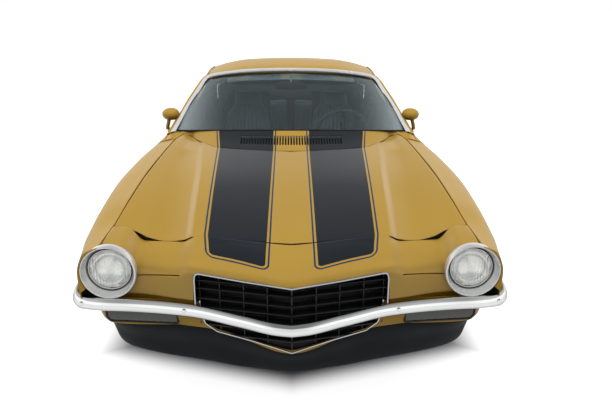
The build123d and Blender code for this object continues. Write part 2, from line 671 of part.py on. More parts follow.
tyre = revolve_x(TYRE_PROFILE)
rim = revolve_x(RIM_PROFILE)
for i in range(5):
    slot = Rot(72 * i, 0, 0) * Pos(20, 0, 112) * Box(80, 62, 50)
    rim -= slot
for name, x, y in (("fl", FRONT_WHEEL_X, FRONT_AXLE_Y), ("rl", REAR_WHEEL_X, REAR_AXLE_Y)):
    save(Pos(x, y, AXLE_Z) * tyre, "tyre_" + name)
    save(Pos(x, y, AXLE_Z) * rim, "wheel_" + name)
    save(flip(Pos(x, y, AXLE_Z) * tyre), "tyre_" + name[0] + "r")
    save(flip(Pos(x, y, AXLE_Z) * rim), "wheel_" + name[0] + "r")

end = REAR_WHEEL_X + HUB_PLANE - 0.1
axle = cyl_x(0, end, REAR_AXLE_Y, AXLE_Z, 38)
axle += cyl_x(end - 14, end, REAR_AXLE_Y, AXLE_Z, 60)
axle += cyl_x(end - 70, end - 14, REAR_AXLE_Y, AXLE_Z, 138)
axle += box(530, 590, 720, 1930, 284, 306)
axle += box(535, 585, 1270, 1372, 280, 345)
axle += box(535, 585, 722, 762, 284, 348)
axle += box(535, 585, 1900, 1930, 284, 412)
axle = both(axle)
axle += Pos(0, REAR_AXLE_Y, AXLE_Z) * Sphere(120)
axle += rod((0, -560, 330), (0, REAR_AXLE_Y - 60, AXLE_Z), 34)
save(axle, "rear_axle")

run = [(340, -1150, 300), (340, -994, 183), (300, 500, 182), (300, 780, 183)]
run += [(330, 980, 300), (430, 1160, 430), (430, 1480, 430), (455, 1640, 300), (455, 2300, 290)]
exhaust = pipe(run, 28) + box(240, 360, -100, 420, 150, FLOOR_Z)
save(both(exhaust), "exhaust")
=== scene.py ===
import math

import bpy
import numpy as np
from mathutils import Matrix, Vector


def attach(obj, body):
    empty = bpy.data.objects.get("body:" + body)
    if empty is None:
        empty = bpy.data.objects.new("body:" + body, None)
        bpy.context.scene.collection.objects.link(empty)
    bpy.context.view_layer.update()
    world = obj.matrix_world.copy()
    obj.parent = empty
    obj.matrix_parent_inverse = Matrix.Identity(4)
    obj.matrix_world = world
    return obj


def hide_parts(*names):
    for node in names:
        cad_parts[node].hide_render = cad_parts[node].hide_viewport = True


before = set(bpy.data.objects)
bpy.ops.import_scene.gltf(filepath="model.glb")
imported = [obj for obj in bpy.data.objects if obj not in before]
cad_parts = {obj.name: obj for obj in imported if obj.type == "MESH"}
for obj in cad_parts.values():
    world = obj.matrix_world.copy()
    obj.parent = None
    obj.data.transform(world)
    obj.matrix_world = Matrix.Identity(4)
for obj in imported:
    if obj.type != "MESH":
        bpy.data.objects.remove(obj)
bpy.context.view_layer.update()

# ---- Hood ------------------------------------------------------------------
# One steel pressing with a raised centre field between two ridges, painted gold
# with two charcoal stripes, hinged at its rear corners on the body.
MM = 0.001


def slopes(x, y):
    """Slopes at the stations, level where the curve turns back"""
    h = np.diff(x)
    d = np.diff(y) / h
    m = np.zeros_like(y)
    w1 = 2 * h[..., 1:] + h[..., :-1]
    w2 = h[..., 1:] + 2 * h[..., :-1]
    same = d[..., :-1] * d[..., 1:] > 0
    before = np.where(same, d[..., :-1], 1.0)
    after = np.where(same, d[..., 1:], 1.0)
    m[..., 1:-1] = np.where(same, (w1 + w2) / (w1 / before + w2 / after), 0.0)
    m[..., 0] = d[..., 0]
    m[..., -1] = d[..., -1]
    return m


def flow(x, y, at):
    """A smooth curve through the stations that never swings past them"""
    x, y = np.broadcast_arrays(np.asarray(x, float), np.asarray(y, float))
    at = np.asarray(at, float)
    shape = np.broadcast_shapes(x.shape[:-1], at.shape)
    x = np.broadcast_to(x, shape + x.shape[-1:])
    y = np.broadcast_to(y, shape + y.shape[-1:])
    at = np.broadcast_to(at, shape)
    m = slopes(x, y)
    i = np.clip((x <= at[..., None]).sum(-1) - 1, 0, x.shape[-1] - 2)[..., None]

    def pick(a, k):
        return np.take_along_axis(a, k, -1)[..., 0]

    x0, x1, y0, y1 = pick(x, i), pick(x, i + 1), pick(y, i), pick(y, i + 1)
    h = x1 - x0
    t = np.clip((at - x0) / h, 0, 1)
    return (
        y0 * (1 + 2 * t) * (1 - t) ** 2
        + pick(m, i) * h * t * (1 - t) ** 2
        + y1 * t * t * (3 - 2 * t)
        + pick(m, i + 1) * h * t * t * (t - 1)
    )


def chord(rows):
    """How far along the rows each station lies on average"""
    step = np.linalg.norm(np.diff(rows, axis=1), axis=2).mean(0)
    return np.concatenate([[0], np.cumsum(np.maximum(step, 1e-3))])


def stretch(rows, along, across):
    """Section lines drawn out to an even net, rows by columns"""
    rows = np.asarray(rows, float)
    u = chord(rows)
    at = np.linspace(0, 1, across + 1) * u[-1]
    net = flow(u, rows.swapaxes(1, 2)[:, None], at[None, :, None])
    v = chord(net.swapaxes(0, 1))
    at = np.linspace(0, v[-1], along + 1)
    return flow(v, np.moveaxis(net, 0, -1)[None], at[:, None, None])


def alone(piece):
    bpy.ops.object.select_all(action="DESELECT")
    piece.select_set(True)
    bpy.context.view_layer.objects.active = piece


def edit(piece, select="SELECT"):
    alone(piece)
    bpy.ops.object.mode_set(mode="EDIT")
    bpy.ops.mesh.select_all(action=select)


def done():
    bpy.ops.object.mode_set(mode="OBJECT")


def face_out():
    """Turns the faces of the closed shell in hand outwards and leaves edit mode"""
    bpy.ops.mesh.select_all(action="SELECT")
    bpy.ops.mesh.normals_make_consistent(inside=False)
    done()


def read_points(mesh):
    co = np.zeros(len(mesh.vertices) * 3, np.float32)
    mesh.vertices.foreach_get("co", co)
    return co.reshape(-1, 3)


def write_points(mesh, co):
    mesh.vertices.foreach_set("co", co.astype(np.float32).ravel())
    mesh.update()


def sheet_grid(name, net):
    """A flat grid pulled to the section lines"""
    rows, cols = net.shape[:2]
    bpy.ops.object.select_all(action="DESELECT")
    bpy.ops.mesh.primitive_grid_add(x_subdivisions=cols - 1, y_subdivisions=rows - 1)
    piece = bpy.context.object
    piece.name = piece.data.name = name
    write_points(piece.data, net * MM)
    return piece


def face_to(piece, outward):
    """Turns an open sheet so that its right side faces outward"""
    normal = Vector((0, 0, 0))
    for face in piece.data.polygons:
        normal += face.normal * face.area
    if normal.dot(Vector(outward)) < 0:
        edit(piece)
        bpy.ops.mesh.flip_normals()
        done()


def settle(piece, *finishes):
    """Gives a piece its finishes"""
    piece.data.materials.clear()
    for one in finishes:
        piece.data.materials.append(one)
    return piece


def apply(piece, kind, **values):
    """Adds a modifier, sets it and makes it permanent"""
    alone(piece)
    bpy.ops.object.modifier_add(type=kind)
    modifier = piece.modifiers[-1]
    for key, value in values.items():
        setattr(modifier, key, value)
    bpy.ops.object.modifier_apply(modifier=modifier.name)


def smooth(piece, degrees=35):
    alone(piece)
    bpy.ops.object.shade_smooth_by_angle(angle=math.radians(degrees))


def cut(piece, cutter):
    apply(piece, "BOOLEAN", operation="DIFFERENCE", solver="EXACT", object=cutter)


def drop(*pieces):
    for piece in pieces:
        bpy.data.objects.remove(piece, do_unlink=True)


def pressing(name, net, outward, finishes, gauge=1.2, hem=1.2, cutters=()):
    """A sheet with its gauge of steel, its openings cut and its edges rolled"""
    piece = settle(sheet_grid(name, net), *finishes)
    face_to(piece, outward)
    apply(piece, "SOLIDIFY", thickness=gauge * MM, offset=-1, use_even_offset=True, thickness_clamp=1.0,
          material_offset=1 if len(finishes) > 1 else 0, material_offset_rim=0)
    edit(piece)
    face_out()
    for cutter in cutters:
        cut(piece, cutter)
    if hem:
        apply(piece, "BEVEL", width=hem * MM, segments=2, limit_method="ANGLE",
              angle_limit=math.radians(50))
    smooth(piece)
    return piece


def fit(piece, body, node=None):
    """Fixes a piece to its body and hides the CAD node that it takes the place of"""
    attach(piece, body)
    if node:
        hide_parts(node)


def wire(tree, node, sockets):
    """Sets a node's sockets to values or joins them to other nodes"""
    for key, value in sockets.items():
        if isinstance(value, bpy.types.NodeSocket):
            tree.links.new(value, node.inputs[key])
        else:
            node.inputs[key].default_value = value
    return node


def add_node(tree, kind, sockets=(), **choices):
    node = tree.nodes.new("ShaderNode" + kind)
    for field, choice in choices.items():
        setattr(node, field, choice)
    return wire(tree, node, dict(sockets))


def reckon(tree, kind, *values):
    return add_node(tree, "Math", dict(enumerate(values)), operation=kind).outputs[0]


def mixed(tree, factor, a, b, **choices):
    return add_node(tree, "Mix", {"Factor": factor, "A": a, "B": b},
                    **{"data_type": "RGBA", **choices}).outputs["Result"]


def spread(tree, value, start, end, low, high, way="LINEAR"):
    """Carries a value from one range over to another"""
    return add_node(tree, "MapRange",
                    {"Value": value, "From Min": start, "From Max": end, "To Min": low, "To Max": high},
                    interpolation_type=way).outputs["Result"]


def finish(name, colour, rough=0.5, metal=0.0, tone=0.12, grain=300.0, wear=0.08,
           bump=0.2, depth=0.3, blotch=5.0, coat=0.0, pit=False, gloss=0.5):
    """A surface with its own grain, its uneven sheen and its fine relief"""
    mat = bpy.data.materials.new(name)
    mat.use_nodes = True
    tree = mat.node_tree
    place = add_node(tree, "TexCoord").outputs["Object"]
    fine = add_node(tree, "TexVoronoi" if pit else "TexNoise", {"Scale": grain, "Vector": place})
    height = fine.outputs["Distance" if pit else "Fac"]
    wide = add_node(tree, "TexNoise", {"Scale": blotch, "Detail": 6.0, "Vector": place}).outputs["Fac"]
    both_scales = reckon(tree, "MULTIPLY_ADD", height, 0.5, reckon(tree, "MULTIPLY", wide, 0.5))
    darker, lighter = ((*[min(1, c * k) for c in colour], 1) for k in (1 - tone, 1 + tone))
    relief = add_node(tree, "Bump", {"Strength": bump, "Distance": depth * MM, "Height": height})
    wire(tree, tree.nodes["Principled BSDF"], {
        "Metallic": metal, "Specular IOR Level": gloss, "Coat Weight": coat, "Coat Roughness": 0.04,
        "Base Color": mixed(tree, both_scales, darker, lighter),
        "Roughness": spread(tree, wide, 0.3, 0.7, max(0.02, rough - wear), rough + wear),
        "Normal": relief.outputs["Normal"]})
    return mat


GOLD = (0.51, 0.305, 0.040)
# Painted shade: how far the lacquer looks for nearby parts, and the dark warm tone it takes there
PAINTED_SHADE_REACH, PAINTED_SHADE_TONE = 0.24, (0.34, 0.27, 0.05, 1)
STRIPE_CORNER, FIELD_INSET, PINSTRIPE = 0.034, 0.0165, 0.0072
PINSTRIPE_BLUE, STRIPE_CHARCOAL = (0.005, 0.034, 0.11, 1), (0.010, 0.014, 0.020, 1)


def lacquer(name, coat, gloss, striped=False):
    """Metallic lacquer: fine flake under a clear coat, painted shade in creases and near other parts,
    stripes laid on top
    """
    mat = finish(name, GOLD, rough=0.34, metal=0.12, tone=0.07, grain=900, wear=0.03, bump=0.03,
                 depth=0.05, blotch=3.0, coat=coat, gloss=gloss)
    tree = mat.node_tree
    shader = tree.nodes["Principled BSDF"]
    # Painted shade: ambient occlusion darkens and warms the paint's colour near other parts and in
    # creases.
    painted_shade_probe = add_node(tree, "AmbientOcclusion", {"Distance": PAINTED_SHADE_REACH}, samples=6)
    shade = mixed(tree, painted_shade_probe.outputs["AO"], PAINTED_SHADE_TONE, (1, 1, 1, 1))
    flake = shader.inputs["Base Color"].links[0].from_socket
    colour = mixed(tree, 1.0, flake, shade, blend_type="MULTIPLY")
    if striped:
        edge = add_node(tree, "UVMap", uv_map="stripe").outputs[0]
        parts = add_node(tree, "SeparateXYZ", {0: edge}).outputs
        short = [reckon(tree, "MAXIMUM", reckon(tree, "SUBTRACT", STRIPE_CORNER, parts[k]), 0.0)
                 for k in "XY"]
        a, b = (reckon(tree, "MULTIPLY", s, s) for s in short)
        inside = reckon(tree, "SUBTRACT", STRIPE_CORNER, reckon(tree, "SQRT", reckon(tree, "ADD", a, b)))
        field = reckon(tree, "GREATER_THAN", inside, FIELD_INSET)
        line = reckon(tree, "MULTIPLY", reckon(tree, "GREATER_THAN", inside, 0.0),
                      reckon(tree, "LESS_THAN", inside, PINSTRIPE))
        colour = mixed(tree, line, colour, PINSTRIPE_BLUE)
        colour = mixed(tree, field, colour, STRIPE_CHARCOAL)
    wire(tree, shader, {"Base Color": colour})
    return mat


# Stripe edges: y, inner x, outer x
STRIPE = np.array([
    (-2300, 90, 332), (-2260, 89, 340), (-2055, 88, 372), (-932, 89, 434),
    (-704, 93, 463), (1560, 93, 440), (2280, 90, 420),
], float)


def lay_stripes(piece, front=None):
    """Writes how far each point lies inside a stripe, from its sides and its end"""
    mesh = piece.data
    co = read_points(mesh)
    x, y = np.abs(co[:, 0]) / MM, co[:, 1] / MM
    inner = np.interp(y, STRIPE[:, 0], STRIPE[:, 1])
    outer = np.interp(y, STRIPE[:, 0], STRIPE[:, 2])
    side = np.minimum(x - inner, outer - x)
    end = np.full_like(side, 200.0)
    if front:
        end = y - (front[0] + (x - 88) * front[1])
    uv = np.stack([side, end], 1) * MM
    layer = mesh.uv_layers.new(name="stripe")
    loops = np.zeros(len(mesh.loops), np.int32)
    mesh.loops.foreach_get("vertex_index", loops)
    layer.data.foreach_set("uv", uv[loops].astype(np.float32).ravel())


gold_paint = lacquer("gold_lacquer", coat=0.12, gloss=0.14)
striped_paint = lacquer("striped_lacquer", coat=0.48, gloss=0.25, striped=True)
under_paint = finish("underhood_satin", (0.016, 0.016, 0.017), rough=0.5, tone=0.3,
                     grain=120, bump=0.25)

# y, centre z, ridge x z, valley x z, side seam x z
HOOD = np.array([
    (-2135, 737, 412, 748, 545, 722, 772, 766),
    (-2003, 760, 421, 770, 552, 742, 765, 785),
    (-1752, 792, 440, 808, 572, 782, 754, 825),
    (-1475, 822, 462, 838, 592, 820, 748, 850),
    (-1084, 856, 498, 868, 618, 856, 724, 880),
    (-780, 879, 524, 886, 634, 886, 702, 897),
    (-630, 889, 536, 893, 640, 895, 694, 903),
], float)
HOOD_FRONT = np.array([(0, -2113), (108, -2105), (268, -2090), (418, -2073), (466, -2065),
                       (619, -2050), (663, -2025), (702, -2015), (760, -2005)], float)
HOOD_SIDE = np.array([(760, -2005), (747, -1752), (741, -1475), (717, -1084), (695, -780),
                      (664, -662)], float)
HOOD_REAR = np.array([(0, -992), (434, -930), (498, -870), (556, -799), (595, -722),
                      (632, -668), (664, -662)], float)


def hood_section(y):
    """Half of the section: centre, ridge, flank, valley and side seam"""
    zc, rx, rz, vx, vz, sx, sz = (flow(HOOD[:, 0], HOOD[:, k], y) for k in range(1, 8))
    fade = np.clip((-y - 900) / 500, 0.35, 1)
    flank = rz - (6 + 5 * fade) - 0.4 * np.maximum(rz - vz - 13, 0)
    xs = np.stack([0 * y, 0.55 * rx, rx - 16, rx, rx + 9, rx + 36, vx - 14, (vx + sx) / 2, sx], -1)
    zs = np.stack([zc, zc + 0.5 * (rz - zc), rz - 1.2, rz, rz - 2.5 * fade, flank,
                   np.minimum(vz, rz - 7), vz * 0.4 + sz * 0.6, sz], -1)
    return xs, zs


def hood_height(x, y):
    return flow(*hood_section(y), x)


def hood_net(along=96):
    """Half a hood between its front, side and rear seams, mirrored to the other side"""
    s = np.concatenate([np.linspace(0, 2, 15), np.linspace(2, 5, 15)[1:], np.linspace(5, 8, 17)[1:]])
    t = np.linspace(0, 1, along + 1)[:, None]
    y = np.broadcast_to(-2100 + 1200 * t, (along + 1, len(s))).copy()
    for _ in range(12):
        xs, _z = hood_section(y)
        scale = np.interp(y, HOOD_SIDE[:, 1], HOOD_SIDE[:, 0]) / xs[..., -1]
        x = flow(np.arange(9.0), xs * scale[..., None], s[None, :])
        front = np.interp(x, HOOD_FRONT[:, 0], HOOD_FRONT[:, 1])
        rear = flow(HOOD_REAR[:, 0], HOOD_REAR[:, 1], np.minimum(x, HOOD_REAR[-1, 0]))
        y = 0.5 * y + 0.5 * ((1 - t) * front + t * rear)
    z = hood_height(x, y)
    half = np.stack([x, y, z], -1)
    mirror = half[:, :0:-1] * (-1, 1, 1)
    return np.concatenate([mirror, half], 1)


hood = pressing("hood_skin", hood_net(), (0, 0, 1), (striped_paint, under_paint), gauge=14, hem=3)
lay_stripes(hood)
fit(hood, "hood", "hood")

# ---- Front fenders ---------------------------------------------------------
# Outer fenders pressed in steel and bolted to the body, with a rolled lip round
# the wheel opening; gold lacquer outside, black underneath.
FENDER = np.array([
    (-2225, 776, 770, 832, 744, 864, 655, 862, 570, 846, 505),
    (-2110, 771, 777, 850, 747, 887, 646, 884, 525, 862, 455),
    (-2003, 765, 785, 866, 752, 908, 640, 902, 500, 872, 405),
    (-1752, 754, 825, 882, 778, 928, 640, 912, 470, 880, 330),
    (-1475, 748, 850, 888, 803, 936, 640, 915, 440, 880, 245),
    (-1084, 724, 880, 864, 832, 928, 640, 908, 420, 872, 225),
    (-787, 702, 897, 824, 853, 905, 630, 893, 410, 862, 218),
], float)
FRONT_AXLE, REAR_AXLE, AXLE_Z = -1422.0, 1321.0, 330.0
FRONT_ARCH, REAR_ARCH = 388.0, 372.0
HOUSE = 376.0
HOUSE_SECTION = ((530, 410), (532, 392), (538, 380), (556, 374), (640, 371), (720, 372))
SIDES = (("left", 1), ("right", -1))


def section_rows(table):
    """Rows of a depth, then distance from the centre and height by turns"""
    return [[(row[k], row[0], row[k + 1]) for k in range(1, len(row), 2)] for row in table]


def side_x(table, y, z):
    """How far out the flank stands at a point of its side view"""
    y, z = np.broadcast_arrays(np.asarray(y, float), np.asarray(z, float))
    xs = np.stack([flow(table[:, 0], table[:, k], y) for k in range(1, table.shape[1], 2)], -1)
    zs = np.stack([flow(table[:, 0], table[:, k], y) for k in range(2, table.shape[1], 2)], -1)
    return flow(zs[..., ::-1], xs[..., ::-1], z)


def wheel_cutter(y, radius, sign):
    bpy.ops.mesh.primitive_cylinder_add(
        vertices=160, radius=radius * MM, depth=0.5,
        location=(sign * 0.85, y * MM, AXLE_Z * MM), rotation=(0, math.pi / 2, 0))
    return bpy.context.object


def block(x0, x1, y0, y1, z0, z1):
    bpy.ops.mesh.primitive_cube_add(
        size=1, location=((x0 + x1) / 2 * MM, (y0 + y1) / 2 * MM, (z0 + z1) / 2 * MM),
        scale=((x1 - x0) * MM, (y1 - y0) * MM, (z1 - z0) * MM))
    return bpy.context.object


def arch_lip(name, table, y0, radius, sign, low, high):
    """The rolled edge of a wheel opening, following the flank"""
    angle = np.radians(np.linspace(low, high, 73))
    steps = [(13, 0.2), (8, 1.6), (3, 3.0), (0, 3.4), (-1.5, 2.4), (-2, 0), (-2, -12), (-2, -24)]
    rows = []
    for a in angle:
        y, z = y0 + radius * math.cos(a), AXLE_Z + radius * math.sin(a)
        x = float(side_x(table, y, z))
        rows.append([(sign * (x + out), y0 + (radius + away) * math.cos(a),
                      AXLE_Z + (radius + away) * math.sin(a)) for away, out in steps])
    lip = pressing(name, np.array(rows), (sign, 0, 0), (gold_paint,), gauge=1.0, hem=0)
    smooth(lip, 60)
    return lip


for side, sign in SIDES:
    net = stretch(section_rows(FENDER), 110, 56) * (sign, 1, 1)
    arch = wheel_cutter(FRONT_AXLE, FRONT_ARCH, sign)
    corner = block(780 * sign, 920 * sign, -2240, -2186, 390, 552)
    fender = pressing(f"fender_skin_{side}", net, (sign, 0, 0.3), (gold_paint, under_paint),
                      gauge=9, hem=2.2, cutters=(arch, corner))
    drop(arch, corner)
    fit(fender, "body", f"fender_{side}")
    lip = arch_lip(f"front_arch_lip_{side}", FENDER, FRONT_AXLE, FRONT_ARCH, sign, -15, 176)
    fit(lip, "body")
    rows = []
    for a in np.radians(np.linspace(-8, 188, 64)):
        y, z = FRONT_AXLE + HOUSE * math.cos(a), AXLE_Z + HOUSE * math.sin(a)
        end = float(side_x(FENDER, y, z)) - 14
        rows.append([(sign * x, FRONT_AXLE + r * math.cos(a), AXLE_Z + r * math.sin(a))
                     for x, r in (*HOUSE_SECTION, (end - 30, 377), (end, 384))])
    house = pressing(f"wheel_house_{side}", np.array(rows), (0, 0, 1), (under_paint,), gauge=2, hem=0)
    smooth(house, 50)
    fit(house, "body")

# ---- Cowl and its louvres --------------------------------------------------
# The painted panel between hood and windshield, pressed with a row of air slots
# over a black plenum; the stripes run on across it to the glass.
COWL = [
    (0, -985, 866, -850, 893, -722, 930), (434, -922, 874, -800, 897, -692, 925),
    (498, -862, 878, -770, 899, -678, 921), (556, -790, 881, -725, 899, -664, 918),
    (600, -712, 884, -680, 898, -653, 914), (632, -657, 887, -649, 898, -642, 909),
    (686, -657, 896, -649, 902, -636, 906),
]


def mirrored_rows(rows):
    """Section lines of the left half set out on both sides of the centre line"""
    return [[(-x, y, z) for x, y, z in line] for line in rows[:0:-1]] + rows


def across_rows(table):
    """Rows of a distance from the centre, then depth and height by turns"""
    return mirrored_rows([[(row[0], row[k], row[k + 1]) for k in range(1, len(row), 2)] for row in table])


def joined(pieces, name):
    alone(pieces[0])
    for piece in pieces:
        piece.select_set(True)
    bpy.ops.object.join()
    pieces[0].name = pieces[0].data.name = name
    return pieces[0]


LOUVRES, LOUVRE_PITCH, LOUVRE_WIDTH, LOUVRE_LENGTH = 37, 16.6, 9.6, 120.0
tongues = []
for i in range(LOUVRES):
    x = (i - LOUVRES // 2) * LOUVRE_PITCH
    y = -842 + 0.00022 * x * x
    tongues.append(block(x - LOUVRE_WIDTH / 2, x + LOUVRE_WIDTH / 2,
                         y - LOUVRE_LENGTH / 2, y + LOUVRE_LENGTH / 2, 850, 940))
comb = joined(tongues, "louvre_comb")
cowl = pressing("cowl_skin", stretch(across_rows(COWL), 150, 26), (0, 0, 1),
                (striped_paint, under_paint), gauge=5, hem=1.6, cutters=(comb,))
drop(comb)
lay_stripes(cowl)
fit(cowl, "body", "cowl")
plenum_black = finish("plenum_black", (0.008, 0.008, 0.009), rough=0.7, tone=0.3, grain=200)
rows = [[(x, -920 + 0.0002 * x * x, 866), (x, -842, 872), (x, -764, 892)]
        for x in (-330, -160, 0, 160, 330)]
plenum = pressing("cowl_plenum", stretch(rows, 30, 10), (0, 0, 1), (plenum_black,), gauge=3, hem=0)
fit(plenum, "body")

# ---- Nose panel ------------------------------------------------------------
# The painted header over the grille, run out to the lamp pods; a soft nose
# pressing bolted between the fenders, with the lamp and grille openings cut.
NOSE = [
    (0, -2120, 738, -2200, 722, -2300, 692, -2345, 672, -2360, 652, -2354, 560),
    (108, -2112, 744, -2195, 728, -2285, 698, -2322, 680, -2336, 660, -2330, 560),
    (268, -2097, 757, -2170, 740, -2245, 710, -2284, 692, -2298, 670, -2292, 560),
    (398, -2080, 761, -2155, 738, -2215, 712, -2252, 696, -2264, 670, -2266, 560),
    (466, -2072, 735, -2124, 722, -2182, 699, -2222, 676, -2240, 645, -2248, 560),
    (619, -2057, 736, -2108, 724, -2158, 704, -2190, 678, -2202, 648, -2207, 560),
    (700, -2022, 782, -2090, 776, -2150, 770, -2186, 760, -2195, 680, -2198, 560),
    (757, -2014, 784, -2090, 778, -2150, 770, -2184, 760, -2194, 680, -2196, 560),
]
LAMP = (742.0, -2197.0, 661.0)


def prism_cutter(name, outline, y0, y1):
    """A closed outline in front view, pushed through from front to back"""
    count = len(outline)
    bpy.ops.object.select_all(action="DESELECT")
    bpy.ops.mesh.primitive_circle_add(vertices=count, fill_type="NGON")
    piece = bpy.context.object
    for vertex, (x, z) in zip(piece.data.vertices, outline):
        vertex.co = (x * MM, y0 * MM, z * MM)
    edit(piece)
    bpy.ops.mesh.extrude_region_move(TRANSFORM_OT_translate={"value": (0, (y1 - y0) * MM, 0)})
    face_out()
    piece.name = name
    return piece


def round_cutter(x, y, z, radius, depth):
    bpy.ops.mesh.primitive_cylinder_add(
        vertices=96, radius=radius * MM, depth=depth * MM,
        location=(x * MM, y * MM, z * MM), rotation=(math.pi / 2, 0, 0))
    return bpy.context.object


GRILLE_MOUTH = [(0, 653), (376, 679), (392, 668), (396, 540), (-396, 540), (-392, 668), (-376, 679)]
HOOD_LINE_GROOVE = [(708, 632.5), (708, 637), (450, 658.5), (450, 654)]
mouth = prism_cutter("mouth", GRILLE_MOUTH, -2500, -2180)
pods = [round_cutter(s * LAMP[0], LAMP[1], LAMP[2], 98, 260) for s in (1, -1)]
splits = [prism_cutter("split", [(s * x, z) for x, z in HOOD_LINE_GROOVE][::s], -2290, -2150)
          for s in (1, -1)]
nose_rows = across_rows(NOSE)
for line, s in ((nose_rows[0], -1), (nose_rows[-1], 1)):
    for k, x in enumerate((761, 765, 768, 770, 771, 771)):
        line[k] = (s * x, line[k][1], line[k][2])
nose = pressing("nose_skin", stretch(nose_rows, 150, 48), (0, -1, 0.6),
                (striped_paint, under_paint), gauge=7, hem=2.4, cutters=(mouth, *pods, *splits))
drop(mouth, *pods, *splits)
lay_stripes(nose, front=(-2292, 0.34))
fit(nose, "body", "nose_panel")
for side, sign in SIDES:
    rows = [[(sign * x, y + 9, 580), (sign * x, y + 10, 552), (sign * x, y + 16, 522)]
            for x, y in ((399, -2264), (466, -2247), (619, -2206), (700, -2196), (748, -2193))]
    filler = pressing(f"bumper_filler_{side}", stretch(rows, 30, 8), (0, -1, 0),
                      (gold_paint, under_paint), gauge=3, hem=0)
    fit(filler, "body")

# ---- Front valance and air dam ---------------------------------------------
# Painted panel below the bumper with the turn lamp openings, and the black
# moulded air dam screwed under it.
VALANCE = [(0, -2335, 541, -2338, 350), (210, -2286, 541, -2290, 396),
           (358, -2250, 541, -2253, 424), (470, -2226, 541, -2222, 420),
           (752, -2190, 541, -2182, 411), (790, -2172, 541, -2164, 424),
           (818, -2136, 539, -2130, 450), (832, -2084, 537, -2080, 486)]
LOWER_MOUTH = [(0, 366), (302, 424), (350, 448), (363, 478), (376, 556), (380, 600),
               (-380, 600), (-376, 556), (-363, 478), (-350, 448), (-302, 424)]
TURN_LAMP = [(473, 433), (473, 487), (774, 483), (774, 450), (756, 429)]
rows = across_rows(VALANCE)
rows = [[(x0, y0, z0), (x0, (y0 + y1) / 2 - 5, (z0 + z1) / 2), (x1, y1 + 6, z1)]
        for (x0, y0, z0), (x1, y1, z1) in rows]
cutters = [prism_cutter("lower_mouth", LOWER_MOUTH, -2500, -2180)]
for s in (1, -1):
    cutters.append(prism_cutter("turn_mouth", [(s * x, z) for x, z in TURN_LAMP][::s], -2400, -2130))
valance = pressing("front_valance_skin", stretch(rows, 130, 22), (0, -1, 0),
                   (gold_paint, under_paint), gauge=4, hem=1.6, cutters=cutters)
drop(*cutters)
fit(valance, "body", "front_valance")

dam_black = finish("dam_moulding", (0.015, 0.017, 0.019), rough=0.58, tone=0.25, grain=420, gloss=0.12,
                   bump=0.35, depth=0.4, pit=True)
DAM = [(0, -2304, 352), (180, -2270, 387), (360, -2240, 424), (650, -2172, 416), (742, -2126, 412),
       (786, -2086, 404), (801, -2052, 396)]
DAM_LOW = [(0, 217), (180, 217), (320, 229), (455, 238), (650, 245), (742, 250), (786, 272), (801, 330)]
rows = []
for x, y, z in DAM:
    back = 34 + abs(x) * 0.02
    low = float(np.interp(x, *zip(*DAM_LOW)))
    rows.append([(x, y + 2, z), (x, y - 4, z - 14), (x * 0.998, y + back * 0.5, (z + low) / 2),
                 (x * 0.99, y + back, low + 8), (x * 0.99, y + back + 8, low)])
rows = mirrored_rows(rows)
dam = pressing("air_dam_moulding", stretch(rows, 120, 20), (0, -1, 0), (dam_black,), gauge=5, hem=1.5)
fit(dam, "body", "air_dam")

# ---- Roof ------------------------------------------------------------------
# One crowned pressing from windshield to backlight, with the pillars leaded in
# and a drip rail along each side.
ROOF = np.array([
    (-60, 1196, 300, 1189, 470, 1168, 578, 1142), (-20, 1221, 302, 1213, 474, 1191, 588, 1159),
    (34, 1235, 305, 1226, 482, 1200, 595, 1168), (120, 1247, 310, 1238, 490, 1209, 601, 1173),
    (343, 1262, 320, 1252, 500, 1220, 604, 1180), (640, 1243, 315, 1233, 495, 1206, 604, 1174),
    (900, 1195, 300, 1187, 465, 1168, 552, 1152),
], float)
s = np.linspace(-1, 1, 73)[None, :]
t = np.linspace(0, 1, 81)[:, None]
front = -44 + 28 * np.abs(s) ** 3
rear = 890 - 10 * np.abs(s) ** 3
y = (1 - t) * front + t * rear
cols = [flow(ROOF[:, 0], ROOF[:, k], y) for k in range(1, 8)]
x = s * cols[5]
xs = np.stack([-cols[5], -cols[3], -cols[1], 0 * y, cols[1], cols[3], cols[5]], -1)
zs = np.stack([cols[6], cols[4], cols[2], cols[0], cols[2], cols[4], cols[6]], -1)
headliner = finish("headliner_vinyl", (0.045, 0.045, 0.047), rough=0.8, tone=0.15, grain=500, pit=True)
roof = pressing("roof_skin", np.stack([x, y, flow(xs, zs, x)], -1), (0, 0, 1),
                (gold_paint, headliner), gauge=12, hem=2.5)
fit(roof, "body", "roof")


def both_halves(points):
    points = [tuple(p) for p in points]
    return [(-x, y, z) for x, y, z in points[:0:-1]] + points


def soft_path(points, count):
    """A smooth line through a few points, evenly divided"""
    points = np.asarray(points, float)
    knots = np.concatenate([[0], np.cumsum(np.linalg.norm(np.diff(points, axis=0), axis=1))])
    at = np.linspace(0, knots[-1], count)
    return np.stack([flow(knots, points[:, k], at) for k in range(3)], 1)


